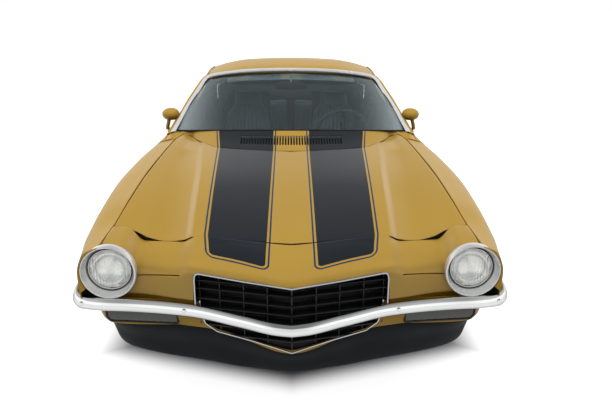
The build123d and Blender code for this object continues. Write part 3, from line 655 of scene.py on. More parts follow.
def rail(name, path, profile, finishes, up=(0, 0, 1), out=None, closed=False, round_to=40, samples=0):
    """A profile drawn along a smooth line and closed at its ends"""
    path = soft_path(path, samples + 1) if samples else np.asarray(path, float)
    ahead = np.roll(path, -1, 0) - path
    behind = path - np.roll(path, 1, 0)
    if not closed:
        ahead[-1], behind[0] = behind[-1], ahead[0]
    ahead /= np.linalg.norm(ahead, axis=1)[:, None]
    behind /= np.linalg.norm(behind, axis=1)[:, None]
    along = ahead + behind
    along /= np.linalg.norm(along, axis=1)[:, None]
    mitre = 1 / np.clip((along * ahead).sum(1), 0.5, 1)
    ups = np.broadcast_to(np.asarray(up, float), path.shape)
    side = np.cross(along, ups)
    side /= np.linalg.norm(side, axis=1)[:, None]
    if out is not None:
        aim = np.broadcast_to(np.asarray(out, float), path.shape)
        side *= np.where((side * aim).sum(1) < 0, -1.0, 1.0)[:, None]
    top = np.cross(side, along)
    top *= np.where((top * ups).sum(1) < 0, -1.0, 1.0)[:, None]
    ring = np.asarray(list(profile) + [profile[0]], float)
    net = (path[:, None] + side[:, None] * ring[None, :, :1] * mitre[:, None, None]
           + top[:, None] * ring[None, :, 1:])
    if closed:
        net = np.concatenate([net, net[:1]], 0)
    piece = settle(sheet_grid(name, net), *finishes)
    edit(piece)
    bpy.ops.mesh.remove_doubles(threshold=0.00002)
    if not closed:
        bpy.ops.mesh.select_all(action="DESELECT")
        bpy.ops.mesh.select_non_manifold()
        bpy.ops.mesh.edge_face_add()
        bpy.ops.mesh.select_all(action="DESELECT")
        bpy.ops.mesh.select_non_manifold()
        bpy.ops.mesh.fill_holes(sides=0)
    face_out()
    smooth(piece, round_to)
    return piece


# Glass edge, outer edge and door side of the pillar, from its foot up
PILLAR = [((728, -628, 901), (780, -640, 888), (790, -560, 884)),
          ((706, -516, 950), (755, -524, 939), (762, -444, 938)),
          ((681, -386, 1004), (724, -384, 997), (730, -310, 994)),
          ((652, -272, 1051), (698, -256, 1050), (698, -184, 1048)),
          ((624, -160, 1097), (669, -143, 1097), (660, -72, 1095)),
          ((595, -36, 1149), (634, -16, 1151), (620, 44, 1142)),
          ((574, 6, 1163), (614, 50, 1170), (606, 100, 1160))]
DRIP_LINE = [(612, 40, 1158), (607, 130, 1172), (611, 343, 1180), (610, 600, 1175), (608, 655, 1168)]
trim_bright = finish("anodised_trim", (0.86, 0.865, 0.87), rough=0.26, metal=0.35, tone=0.03, grain=700,
                     wear=0.04, bump=0.02, depth=0.05)
for side, sign in SIDES:
    rows, strips = [], []
    for glass, outer, door in PILLAR:
        glass, outer, door = (np.array(p, float) * (sign, 1, 1) for p in (glass, outer, door))
        lift, over = np.array((0, -4, 7)), np.array((sign * 3, -2, 5))
        rows.append([glass + (sign * 6, 4, -10), glass + (sign * 6, 0, 0),
                     (glass + outer) / 2 + lift * 0.6, outer + over * 0.6, outer + (sign * 4, 6, -3),
                     (outer + door) / 2, door])
        strips.append([glass + (0, -1, 2), glass + lift, glass * 0.66 + outer * 0.34 + lift * 1.5,
                       glass * 0.40 + outer * 0.60 + lift * 1.2,
                       glass * 0.36 + outer * 0.64 + lift * 0.2])
    post = pressing(f"windshield_pillar_{side}", stretch(rows, 60, 28), (sign, -0.6, 0.6),
                    (gold_paint, under_paint), gauge=5, hem=0)
    fit(post, "body")
    strip = pressing(f"pillar_moulding_{side}", stretch(strips, 60, 14), (0, -0.6, 0.6), (trim_bright,),
                     gauge=2, hem=0)
    fit(strip, "body")
    drip = rail(f"drip_rail_{side}", [(sign * x, y, z) for x, y, z in DRIP_LINE],
                [(-4, -3), (3, -4), (6, 0), (5, 4), (2, 3), (2, 0), (-4, 1)], (gold_paint,),
                out=(sign, 0, 0), samples=60)
    fit(drip, "body")
    rows = [[(sign * x, y, z - lower)
             for x, z in ((inner, 900), (718, 900), (745, 895), (768, 886), (776, 876))]
            for inner, y, lower in ((703, -786, 5), (687, -725, 2), (671, -668, -2), (682, -648, -2),
                                    (696, -560, -1))]
    corner = pressing(f"cowl_side_{side}", stretch(rows, 40, 20), (0, 0, 1), (gold_paint, under_paint),
                      gauge=5, hem=1)
    fit(corner, "body")

HEADER = [(0, -41, 1222), (150, -40, 1220), (300, -37, 1213), (470, -30, 1195), (545, -21, 1182),
          (582, 0, 1169)]
header = rail("header_moulding", both_halves(HEADER),
              [(-14, -9), (1, -10), (5, -7), (6, 2), (2, 9), (-6, 13), (-16, 13)], (trim_bright,),
              out=(0, -1, 0), samples=80, round_to=60)
fit(header, "body")

seal_black = finish("hood_seal_rubber", (0.008, 0.008, 0.009), rough=0.8, tone=0.2, grain=300, gloss=0.1)
seal_line = []
for x in range(-700, 701, 20):
    y = float(np.interp(abs(x), HOOD_FRONT[:, 0], HOOD_FRONT[:, 1])) - 2.5
    seal_line.append((x, y, float(hood_height(np.array(abs(float(x))), np.array(y))) - 0.4))
seal = rail("hood_front_seal", seal_line, [(-2.2, -8), (-2.2, 0), (0, 0.9), (2.2, 0), (2.2, -8)],
            (seal_black,), out=(0, -1, 0))
fit(seal, "body")

# ---- Rear quarters ---------------------------------------------------------
# Quarter panel and roof sail in one pressing, with the rear wheel opening and a
# rolled lip; gold outside, black inside the wheel house.
QUARTER = np.array([
    (647, 604, 1172, 784, 890, 824, 866, 908, 628, 893, 410, 862, 218),
    (900, 560, 1150, 777, 898, 836, 868, 922, 636, 900, 410, 864, 220),
    (1100, 578, 1085, 775, 903, 846, 868, 932, 642, 906, 420, 866, 225),
    (1321, 606, 1008, 774, 905, 856, 866, 940, 646, 912, 440, 868, 240),
    (1520, 648, 938, 768, 903, 854, 862, 942, 650, 912, 450, 868, 262),
    (1800, 654, 922, 758, 898, 842, 855, 930, 650, 905, 470, 866, 330),
    (2150, 645, 902, 742, 880, 812, 838, 898, 650, 885, 500, 850, 395),
    (2262, 640, 885, 735, 862, 800, 820, 880, 645, 870, 510, 840, 405),
], float)
for side, sign in SIDES:
    net = stretch(section_rows(QUARTER), 96, 64) * (sign, 1, 1)
    arch = wheel_cutter(REAR_AXLE, REAR_ARCH, sign)
    quarter = pressing(f"quarter_skin_{side}", net, (sign, 0, 0.3), (gold_paint, under_paint),
                       gauge=9, hem=2.2, cutters=(arch,))
    drop(arch)
    fit(quarter, "body", f"quarter_{side}")
    lip = arch_lip(f"rear_arch_lip_{side}", QUARTER, REAR_AXLE, REAR_ARCH, sign, -3, 195)
    fit(lip, "body")

# ---- Doors -----------------------------------------------------------------
# Doors hung at their front edge: painted skin outside, black vinyl trim and an
# arm rest inside, and a chrome handle on the skin.
DOOR = np.array([
    (-780, 772, 884, 824, 853, 905, 630, 893, 410, 862, 262),
    (-500, 779, 893, 808, 858, 897, 625, 888, 410, 858, 262),
    (0, 783, 893, 810, 862, 893, 620, 885, 410, 856, 262),
    (400, 783, 893, 816, 864, 899, 623, 888, 410, 858, 262),
    (640, 784, 893, 824, 866, 908, 628, 893, 410, 862, 262),
], float)
door_trim = finish("door_trim_vinyl", (0.022, 0.023, 0.025), rough=0.55, tone=0.2, grain=420,
                   bump=0.35, depth=0.5, pit=True)
chrome = finish("bright_chrome", (0.86, 0.865, 0.87), rough=0.06, metal=1.0, tone=0.03, grain=40,
                wear=0.03, bump=0.01, depth=0.1)
# Painted shade: the chrome's colour darkens towards its edges as they turn away from the view.
tree = chrome.node_tree
plating = tree.nodes["Principled BSDF"]
facing = add_node(tree, "LayerWeight", {"Blend": 0.5}).outputs["Facing"]
edge_shade = spread(tree, facing, 0.45, 0.92, 1.0, 0.22)
bright = plating.inputs["Base Color"].links[0].from_socket
wire(tree, plating, {"Base Color": mixed(tree, edge_shade, (0.05, 0.045, 0.04, 1), bright)})
for side, sign in SIDES:
    net = stretch(section_rows(DOOR), 90, 44) * (sign, 1, 1)
    door = pressing(f"door_shell_{side}", net, (sign, 0, 0.2), (gold_paint, door_trim), gauge=40,
                    hem=2.4)
    fit(door, f"door_{side}", f"door_{side}")
    rest = rail(f"door_arm_rest_{side}",
                [(sign * 838, -300, 640), (sign * 836, -200, 652), (sign * 836, 100, 648),
                 (sign * 838, 220, 630)],
                [(6, -26), (-34, -20), (-42, 0), (-34, 20), (6, 26)], (door_trim,),
                out=(sign, 0, 0), samples=24)
    fit(rest, f"door_{side}")
    y, z = 540, 796
    x = float(side_x(DOOR, y, z)) + 2
    handle = rail(f"door_handle_{side}",
                  [(sign * (x - 4), y - 84, z), (sign * (x + 9), y - 76, z), (sign * (x + 13), y - 56, z),
                   (sign * (x + 14), y, z), (sign * (x + 13), y + 44, z), (sign * (x + 6), y + 58, z),
                   (sign * (x - 4), y + 62, z)],
                  [(4, -9), (6, 0), (4, 9), (-3, 9), (-4, 0), (-3, -9)], (chrome,),
                  out=(sign, 0, 0), samples=36)
    fit(handle, f"door_{side}")

# ---- Rocker panels ---------------------------------------------------------
# Painted sills that close the body below the doors, from the front wheel
# opening to the rear quarter.
for side, sign in SIDES:
    rows = [[(sign * x, y, z) for x, z in ((866, 258), (866, 244), (860, 226), (846, 216), (800, 214))]
            for y in (-783, -400, 0, 400, 643)]
    rocker = pressing(f"rocker_panel_{side}", stretch(rows, 60, 16), (sign, 0, -0.3),
                      (gold_paint, under_paint), gauge=2, hem=0)
    fit(rocker, "body")

# ---- Lamp pods, bezels and headlamps ---------------------------------------
# Each round lamp sits in a turned bright bezel with two small screws: a deep
# silvered bowl behind a fluted lens, with a black gasket round it.


def turned(name, centre, profile, finishes, axis="Y", steps=96, degrees=30, close=False):
    """A profile of radius and depth spun about its axle line"""
    points = list(profile) + ([profile[0]] if close else [])
    count = len(points)
    bpy.ops.object.select_all(action="DESELECT")
    bpy.ops.mesh.primitive_grid_add(x_subdivisions=count - 1, y_subdivisions=1)
    piece = bpy.context.object
    piece.name = piece.data.name = name
    along, out = "XYZ".index(axis), int(axis == "X")
    for vertex, (radius, deep) in zip(piece.data.vertices, points * 2):
        spot = list(centre)
        spot[along] += deep
        spot[out] += radius
        vertex.co = Vector(spot) * MM
    edit(piece)
    bpy.ops.mesh.remove_doubles(threshold=1e-7)
    bpy.ops.mesh.delete(type="ONLY_FACE")
    bpy.ops.mesh.select_all(action="SELECT")
    bpy.ops.mesh.spin(steps=steps, angle=2 * math.pi, center=Vector(centre) * MM,
                      axis=(axis == "X", axis == "Y", axis == "Z"))
    bpy.ops.mesh.select_all(action="SELECT")
    bpy.ops.mesh.remove_doubles(threshold=0.00001)
    face_out()
    settle(piece, *finishes)
    smooth(piece, degrees)
    return piece


satin_bezel = finish("satin_bezel", (0.50, 0.50, 0.51), rough=0.24, metal=1.0, tone=0.05, grain=700,
                     wear=0.06, bump=0.04, depth=0.08)
bright_bezel = finish("polished_bezel", (0.84, 0.84, 0.84), rough=0.26, metal=0.55, tone=0.04, grain=700,
                      wear=0.04, bump=0.01, depth=0.05)
silvered = finish("silvered_bowl", (0.86, 0.87, 0.88), rough=0.10, metal=1.0, tone=0.05, grain=90,
                  wear=0.05, bump=0.1, depth=0.5)
gasket = finish("lamp_gasket", (0.012, 0.012, 0.012), rough=0.7, tone=0.3, grain=300)


def clear_glass(name, colour, flutes=0.0, rough=0.03, mix=0.86, ends=0.0):
    """Glass that lets light through to what is behind it, with pressed flutes, and a painted reflection
    that grows towards its sides
    """
    mat = finish(name, colour, rough=rough, tone=0.04, grain=6, wear=0.012, bump=0.0, depth=0.02)
    tree = mat.node_tree
    shader = wire(tree, tree.nodes["Principled BSDF"], {"Transmission Weight": 1.0, "IOR": 1.45})
    through = add_node(tree, "BsdfTransparent", {"Color": (*colour, 1)})
    gloss = add_node(tree, "BsdfGlossy", {"Roughness": rough, "Color": (0.88, 0.98, 1.0, 1)})
    turning = add_node(tree, "LayerWeight", {"Blend": 0.5})
    steep = reckon(tree, "POWER", turning.outputs["Facing"], 5.0)
    place = add_node(tree, "TexCoord").outputs["Object"]
    off_middle = reckon(tree, "ABSOLUTE", add_node(tree, "SeparateXYZ", {0: place}).outputs["X"])
    # Painted reflection: the share of mirrored sky grows with distance from the centre line, up to ends.
    painted_side_reflection = spread(tree, off_middle, 0.36, 0.76, 0.0, ends, "SMOOTHSTEP")
    sheen = reckon(tree, "ADD", reckon(tree, "MULTIPLY_ADD", steep, 0.9, 0.12), painted_side_reflection)
    thin = add_node(tree, "MixShader", {0: sheen, 1: through.outputs[0], 2: gloss.outputs[0]})
    both = add_node(tree, "MixShader", {0: mix, 1: shader.outputs[0], 2: thin.outputs[0]})
    wire(tree, tree.nodes["Material Output"], {"Surface": both.outputs[0]})
    if flutes:
        wave = add_node(tree, "TexWave", {"Scale": flutes, "Distortion": 0.4, "Vector": place},
                        bands_direction="X")
        relief = add_node(tree, "Bump",
                          {"Strength": 0.8, "Distance": 0.0016, "Height": wave.outputs["Fac"]})
        for node in (shader, gloss, turning):
            wire(tree, node, {"Normal": relief.outputs["Normal"]})
    return mat


LENS_DEPTH = 15
BEZEL = [(113, 8), (115, -6), (115, -20), (113, -27), (110, -29.5), (107, -29), (104.5, -25), (101, -12),
         (96, 2), (91, 9), (88.5, 9.5), (87.5, 6), (85.5, 5.5), (84.5, 8), (84.5, 16), (88, 20),
         (108, 20)]
GASKET = [(92, 6), (90.5, 4), (88.8, 5), (88.8, 14), (92, 14)]
BOWL = [(84, 0), (82, 3), (76, 16), (66, 30), (52, 41), (34, 49), (16, 53), (11, 54), (10, 44), (9, 26),
        (6, 22), (0.01, 21), (0.01, 30), (4, 58), (18, 59), (38, 55), (58, 45), (74, 30), (84, 12),
        (86, 2)]
LENS = [(83.5, -5), (80, -8.5), (70, -12.5), (56, -16), (40, -18.5), (22, -20), (8, -20.6), (0.01, -20.8),
        (0.01, -16.8), (22, -16), (40, -14.5), (56, -12), (70, -8.5), (80, -4), (83, -1)]
lens_glass = clear_glass("fluted_lens", (0.96, 0.945, 0.925), flutes=26.0)
FENDER_NOSE = np.array([(776, 770), (806, 759), (832, 744), (853, 702), (864, 655), (865, 612),
                        (862, 572)], float)
for side, sign in SIDES:
    cx, cy, cz = sign * LAMP[0], LAMP[1], LAMP[2]
    k, middle = np.linspace(0, 6, 41), np.array([LAMP[0], LAMP[2]])
    edge = np.stack([flow(np.arange(7.0), FENDER_NOSE[:, 0], k),
                     flow(np.arange(7.0), FENDER_NOSE[:, 1], k)], 1)
    ray = edge - middle
    ray /= np.linalg.norm(ray, axis=1)[:, None]
    inner = middle + 107 * ray
    rows = []
    for e, c in zip(edge, inner):
        line = []
        for w in np.linspace(0, 1, 11):
            spot = e + w * (c - e)
            swell = 9 * math.sin(math.pi * min(1, w * 1.15))
            line.append((sign * spot[0], -2222 - swell + 8 * w, spot[1]))
        rows.append(line)
    pod = pressing(f"lamp_pod_{side}", np.array(rows), (0, -1, 0), (gold_paint,), gauge=2, hem=0)
    fit(pod, "body")
    bezel = turned(f"lamp_bezel_{side}", (cx, cy, cz), BEZEL, (bright_bezel,), close=True)
    fit(bezel, "body")
    seat = turned(f"lamp_gasket_{side}", (cx, cy, cz), GASKET, (gasket,), close=True)
    fit(seat, "body")
    bowl = turned(f"lamp_bowl_{side}", (cx, cy + LENS_DEPTH, cz), BOWL, (silvered,), close=True)
    fit(bowl, "body")
    lens = turned(f"lamp_lens_{side}", (cx, cy + LENS_DEPTH, cz), LENS, (lens_glass,), close=True)
    fit(lens, "body", "front_lamps")
    for a in (215, 325):
        screw = turned(f"bezel_screw_{side}_{a}",
                       (cx + 103 * math.cos(math.radians(a)), cy - 19,
                        cz + 103 * math.sin(math.radians(a))),
                       [(3.4, 2), (3.4, -1), (2.4, -2.6), (0.8, -3), (0.6, -1.6), (0.01, -1.6)],
                       (chrome,), steps=16)
        fit(screw, "body")

# ---- Grille ----------------------------------------------------------------
# Moulded black egg-crate in two flat halves that meet at the prow, set back in
# the opening, with a thin bright surround; a smaller one sits below the bumper.
grille_black = finish("grille_moulding", (0.010, 0.010, 0.011), rough=0.34, tone=0.25, grain=500,
                      wear=0.1, bump=0.15, depth=0.2)


def prow(x, set_back=0.0):
    """Where the folded grille face stands at a distance from the centre"""
    return -2338 + abs(x) * 0.236 + set_back


BAR_SECTION = [(9, -2.6), (11, 0), (9, 2.6), (-26, 4.2), (-26, -4.2)]
POST_SECTION = [(7, -2.4), (9, 0), (7, 2.4), (-24, 4), (-24, -4)]
bars = []
for z, reach in ((641, 384), (606, 384), (562, 382), (523, 380), (484, 372), (447, 356), (408, 250)):
    for s in (1, -1):
        bars.append(rail("grille_bar", [(s * 1.5, prow(0, 6), z), (s * reach, prow(reach, 6), z)],
                         BAR_SECTION, (grille_black,), out=(0, -1, 0)))
for x in (0, 96, 191, 289, 372):
    for s in ((1, -1) if x else (1,)):
        bars.append(rail("grille_post", [(s * x, prow(x, 8), 372 + x * 0.2), (s * x, prow(x, 8), 668)],
                         POST_SECTION, (grille_black,), up=(1, 0, 0), out=(0, -1, 0)))
crate = joined(bars, "grille_egg_crate")
fit(crate, "body", "grille")
rows = [[(x, prow(x, 46), 690), (x, prow(x, 50), 520), (x, prow(x, 46), 338 + abs(x) * 0.17)]
        for x in (-384, -200, -0.5, 0.5, 200, 384)]
screen = pressing("grille_screen", stretch(rows, 60, 24), (0, -1, 0), (plenum_black,), gauge=3, hem=0)
fit(screen, "body")


def grille_trim(name, line, foot, crown):
    """A bright strip clipped round a grille opening"""
    section = [(-foot, -2), (-crown, 2), (crown, 2), (foot, -2)]
    fit(rail(name, line, section, (satin_bezel,), up=(0, -1, 0)), "body")


UPPER_TRIM = both_halves([(0, -2362, 652), (190, -2319, 665), (360, -2276, 678), (374, -2271, 677),
                          (382, -2269, 673), (387, -2268, 665), (389, -2268, 650), (389, -2268, 520)])
LOWER_TRIM = [(0, -2348, 362), (150, -2310, 394), (304, -2274, 422), (352, -2262, 452), (364, -2262, 484),
              (372, -2262, 556)]
for name, line in (("top", UPPER_TRIM[4:10]), ("left", UPPER_TRIM[9:]), ("right", UPPER_TRIM[:6])):
    grille_trim(f"grille_trim_{name}", line, 4.2, 2.6)
grille_trim("lower_grille_trim", both_halves(LOWER_TRIM), 3.6, 2.2)

# ---- Front bumper ----------------------------------------------------------
# A pressed and plated blade that runs the full width, dips to a prow over the
# grille and wraps the fenders; dome-headed bolts hold it to its brackets.
BUMPER = np.array([(0, -2369, 471), (60, -2363, 475), (204, -2326, 492), (411, -2272, 513),
                   (654, -2238, 520), (780, -2231, 523), (832, -2222, 524), (872, -2206, 525),
                   (895, -2172, 526), (905, -2112, 526), (908, -2062, 526)], float)
FRONT_BLADE = [(-8, 27), (-2, 29), (4, 27), (9, 22), (13.5, 13), (16.5, 3), (17, -2), (14.5, -9),
               (10, -17), (4, -24), (-2, -27.5), (-8, -27), (-6, -20), (4, -6), (6, 2), (2, 16)]
bumper = rail("front_bumper_blade", both_halves(soft_path(BUMPER, 90)), FRONT_BLADE, (chrome,),
              out=(0, -1, 0), round_to=28)
fit(bumper, "body", "front_bumper")
for vertex in bumper.data.vertices:
    near_end = min(1.0, max(0.0, (abs(vertex.co.x) - 0.80) / 0.095))
    vertex.co.z += (vertex.co.z - 0.522) * 0.26 * near_end ** 2
bumper.data.update()
for s in (1, -1):
    for x, y, z in ((433, -2286, 521), (858, -2233, 530)):
        bolt = turned(f"bumper_bolt_{'l' if s > 0 else 'r'}_{x}", (s * x, y, z),
                      [(8.5, 6), (8.5, -0.5), (7.6, -2.6), (5.5, -4.2), (2.6, -5), (0.01, -5.2)],
                      (chrome,), steps=28)
        fit(bolt, "body")

# ---- Turn lamps ------------------------------------------------------------
# Grey ribbed lenses in black moulded frames, let into the valance.
smoke_lens = finish("turn_lamp_lens", (0.060, 0.058, 0.052), rough=0.16, tone=0.12, grain=60, wear=0.06,
                    bump=0.05, depth=0.2, coat=0.6)


def valance_y(x, z):
    """How far forward the valance's face stands behind a turn lamp"""
    return -2224 + (abs(x) - 470) * 0.121 + (520 - z) * -0.01


def lined(corners, step):
    """A closed line of corners joined by short straight runs"""
    out = []
    for a, b in zip(corners, corners[1:] + corners[:1]):
        a, b = np.array(a, float), np.array(b, float)
        n = max(1, int(np.linalg.norm(b - a) / step))
        out += [a + (b - a) * i / n for i in range(n)]
    return out


for side, sign in SIDES:
    rows = []
    for w in np.linspace(0, 1, 41):
        x = 476 + w * 294
        top = 484.5 - w * 3.5
        low = np.interp(x, [476, 756, 771], [435.5, 431.5, 450])
        line = []
        for v in np.linspace(0, 1, 13):
            z = low + v * (top - low)
            crown = 5 * (1 - (2 * v - 1) ** 2) * (1 - (2 * w - 1) ** 6) + 0.7 * math.sin(w * 60 * math.pi)
            line.append((sign * x, valance_y(x, z) - 1 - crown, z))
        rows.append(line)
    lens = pressing(f"turn_lamp_{side}", np.array(rows), (0, -1, 0), (smoke_lens,), gauge=7, hem=0.8)
    fit(lens, "body", "front_lamps")
    frame_line = lined([(sign * x, valance_y(x, z) - 1, z) for x, z in TURN_LAMP], 16)
    rim = rail(f"turn_lamp_rim_{side}", frame_line, [(-3.5, -4), (-2.6, 3), (2.6, 3), (3.5, -4)],
               (gasket,), up=(0, -1, 0), closed=True)
    fit(rim, "body")

# ---- Windshield ------------------------------------------------------------
# Curved laminated glass with a pale blue-green tint, set in a black rubber that
# runs all round it.
# The windshield, door panes and backlight share this glass, with a painted reflection towards their
# sides.
tinted = clear_glass("tinted_windshield", (0.85, 0.925, 0.95), rough=0.02, mix=0.95, ends=0.34)
WS_BASE = [(0, -716, 933), (360, -698, 928), (560, -670, 921), (660, -640, 914), (724, -600, 908)]
WS_TOP = [(0, -47, 1203), (300, -42, 1194), (470, -32, 1177), (545, -24, 1163), (582, -14, 1154)]


def glass_net(base, top, bulge, along=60, across=24, spread=0):
    """Curved glass between its lower and upper edge, bowed out between them"""
    rows = []
    for b, t in zip(both_halves(base), both_halves(top)):
        b, t = np.array(b, float), np.array(t, float)
        out = spread * (b[0] / 724) ** 3
        rows.append([tuple(b + (t - b) * w + np.array([out, *bulge]) * 4 * w * (1 - w))
                     for w in (0, 0.25, 0.5, 0.75, 1)])
    return stretch(rows, along, across)


def reveal(name, net, section, finishes, up):
    """A moulding that follows the four edges of a glass"""
    edge = np.concatenate([net[:-1, 0], net[-1, :-1], net[:0:-1, -1], net[0, :0:-1]])
    return rail(name, edge, section, finishes, up=up, closed=True, round_to=50)


net = glass_net(WS_BASE, WS_TOP, (-6, 10), spread=12)
glass_rubber = finish("glazing_rubber", (0.014, 0.014, 0.015), rough=0.62, tone=0.2, grain=400, bump=0.2)
windshield = pressing("windshield_glass", net, (0, -1, 1), (tinted,), gauge=5, hem=0)
fit(windshield, "body", "windshield")
seal = reveal("windshield_rubber", net, [(-6, -4), (-5, 2), (0, 3.5), (4, 2), (5, -4)], (glass_rubber,),
              (0, -0.39, 0.92))
fit(seal, "body")

# ---- Door mirrors ----------------------------------------------------------
# Painted bullet housings on short stalks that stand on the door tops, with the
# glass let into their rear face.
mirror_glass = finish("mirror_glass", (0.75, 0.76, 0.78), rough=0.03, metal=1.0, tone=0.03, grain=20,
                      wear=0.01, bump=0.0)
MIRROR, MIRROR_REACH, MIRROR_FLAT = (784, -474, 984), 54, 0.72


def blunt(value):
    """Squares a circle off a little"""
    return math.copysign(abs(value) ** 0.9, value)


def round_section(radius, count, tall=None):
    turns = np.linspace(0, 2 * math.pi, count + 1)[:-1]
    return [(radius * math.cos(a), (tall or radius) * math.sin(a)) for a in turns]


for side, sign in SIDES:
    cx, cy, cz = MIRROR
    rows = []
    for w in np.linspace(0, 1, 25):
        reach = MIRROR_REACH - 3 * (w - 0.55) / 0.45
        if w < 0.55:
            reach = MIRROR_REACH * math.sqrt(max(0.0, 1 - (1 - w) ** 2.2))
        if w == 0:
            reach = 0.5
        rows.append([(sign * (cx + reach * blunt(math.cos(a))), cy - 44 + 92 * w,
                      cz + reach * MIRROR_FLAT * blunt(math.sin(a)))
                     for a in np.linspace(0, 2 * math.pi, 41)])
    housing = settle(sheet_grid(f"mirror_housing_{side}", np.array(rows)), gold_paint, gold_paint)
    edit(housing)
    bpy.ops.mesh.remove_doubles(threshold=0.0002)
    bpy.ops.mesh.select_all(action="DESELECT")
    bpy.ops.mesh.select_non_manifold()
    bpy.ops.mesh.edge_face_add()
    bpy.ops.mesh.inset(thickness=0.004)
    bpy.ops.mesh.extrude_region_move(TRANSFORM_OT_translate={"value": (0, -0.005, 0)})
    face_out()
    smooth(housing, 40)
    fit(housing, f"door_{side}")
    rows = [[(sign * (cx + 0.97 * r * 49 * math.cos(a)), cy + 44.5 - 1.2 * (1 - r * r),
              cz + 0.97 * r * 49 * MIRROR_FLAT * math.sin(a)) for a in np.linspace(0, 2 * math.pi, 41)]
            for r in (0.02, 0.4, 0.75, 1.0)]
    glass = pressing(f"mirror_face_{side}", np.array(rows), (0, 1, 0), (mirror_glass,), gauge=1.5, hem=0)
    fit(glass, f"door_{side}")
    stalk = rail(f"mirror_stalk_{side}",
                 [(sign * 806, -474, 889), (sign * 805, -474, 906), (sign * 799, -473, 930),
                  (sign * 790, -472, 968)],
                 round_section(12, 16, 19), (gold_paint,), up=(0, 1, 0), samples=16)
    fit(stalk, f"door_{side}")

# ---- Door glass ------------------------------------------------------------
# Frameless drop glass with a slight curve, wiped by a rubber and bright belt
# strip along the door top.
black_rubber = finish("black_rubber", (0.014, 0.014, 0.015), rough=0.62, tone=0.2, grain=400, bump=0.2)
for side, sign in SIDES:
    rows = []
    for w in np.linspace(0, 1, 5):
        low = np.array([783, -566 + w * 1158, 890])
        high = np.array([608, 40 + w * 508, 1144])
        rows.append([tuple((low + (high - low) * v + np.array([16 * 4 * v * (1 - v) * 0.6, 0, 0]))
                           * (sign, 1, 1)) for v in (0, 0.33, 0.66, 1)])
    pane = pressing(f"door_pane_{side}", stretch(rows, 30, 14), (sign, 0, 0.5), (tinted,), gauge=4, hem=0)
    fit(pane, f"door_{side}", f"door_glass_{side}")
    belt = rail(f"belt_strip_{side}",
                [(sign * 788, -560, 893), (sign * 789, 0, 897), (sign * 789, 400, 897),
                 (sign * 789, 596, 897)],
                [(-5, -4), (4, -5), (6, 0), (3, 4), (-3, 4)], (chrome,), out=(sign, 0, 0), samples=40)
    fit(belt, f"door_{side}")
    wipe = rail(f"belt_wipe_{side}",
                [(sign * 777, -560, 893), (sign * 778, 0, 896), (sign * 778, 596, 896)],
                [(-9, -4), (3, -4), (3, 2), (-8, 3)], (black_rubber,), out=(sign, 0, 0), samples=24)
    fit(wipe, f"door_{side}")

# ---- Backlight, rear deck and trunk lid ------------------------------------
# Curved rear glass in a bright moulding, the painted filler panel under it, and
# the trunk lid with its stripes and low lip spoiler.
RW_BASE = [(0, 1546, 952), (350, 1536, 946), (560, 1506, 938), (618, 1474, 936)]
RW_TOP = [(0, 896, 1192), (300, 894, 1184), (460, 893, 1166), (530, 889, 1150)]
net = glass_net(RW_BASE, RW_TOP, (8, 16))
seal = reveal("backlight_rubber", net, [(-13, -9), (-13, -3), (13, -3), (13, -9)], (glass_rubber,),
              (0, 0.35, 0.94))
fit(seal, "body")
backlight = pressing("backlight_glass", net, (0, 1, 1), (tinted,), gauge=5, hem=0)
fit(backlight, "body", "rear_window")
molding = reveal("backlight_reveal", net, [(-9, -4), (-7, 2), (0, 4.5), (8, 2), (9, -4)], (chrome,),
                 (0, 0.35, 0.94))
fit(molding, "body")
DECK = [(0, 1540, 946, 1570, 943, 1600, 938), (350, 1530, 942, 1563, 940, 1596, 936),
        (560, 1500, 936, 1543, 934, 1586, 930), (636, 1470, 933, 1515, 930, 1562, 926),
        (654, 1464, 931, 1510, 928, 1556, 924)]
deck = pressing("rear_filler_skin", stretch(across_rows(DECK), 90, 12), (0, 0, 1),
                (striped_paint, under_paint), gauge=8, hem=1.6)
lay_stripes(deck)
fit(deck, "body", "rear_deck")
LID = np.array([(1600, 938, 400, 935, 600, 929, 650, 923), (1850, 933, 400, 930, 600, 922, 650, 914),
                (2140, 915, 400, 912, 600, 906, 642, 896),
                (2262, 905, 400, 902, 600, 897, 634, 880)], float)
s = np.linspace(-1, 1, 81)[None, :]
t = np.linspace(0, 1, 61)[:, None]
a = np.abs(s) * 640
front = np.interp(a, [0, 350, 560, 640], [1607, 1603, 1594, 1571])
rear = np.interp(a, [0, 400, 640], [2262, 2255, 2241])
y = (1 - t) * front + t * rear
cols = [flow(LID[:, 0], LID[:, k], y) for k in range(1, 8)]
edge = cols[5] - 9
x = s * edge
xs = np.stack([-edge, -cols[3] + 6, -cols[1], 0 * y, cols[1], cols[3] - 6, edge], -1)
zs = np.stack([cols[6], cols[4], cols[2], cols[0], cols[2], cols[4], cols[6]], -1)
lid = pressing("trunk_lid_skin", np.stack([x, y, flow(xs, zs, x)], -1), (0, 0, 1),
               (striped_paint, under_paint), gauge=14, hem=3)
lay_stripes(lid)
fit(lid, "trunk_lid", "trunk_lid")
spoiler = rail("lip_spoiler", both_halves(soft_path([(0, 2290, 908), (300, 2282, 906), (480, 2272, 903),
                                                     (600, 2262, 900), (622, 2256, 897)], 40)),
               [(-66, -5), (-30, -9), (-2, -18), (4, -16), (8, 0), (10, 24), (9, 41), (5, 46), (-1, 45),
                (-8, 34), (-20, 18), (-40, 7), (-62, 2)], (striped_paint,), out=(0, 1, 0), round_to=35)
lay_stripes(spoiler)
fit(spoiler, "trunk_lid")

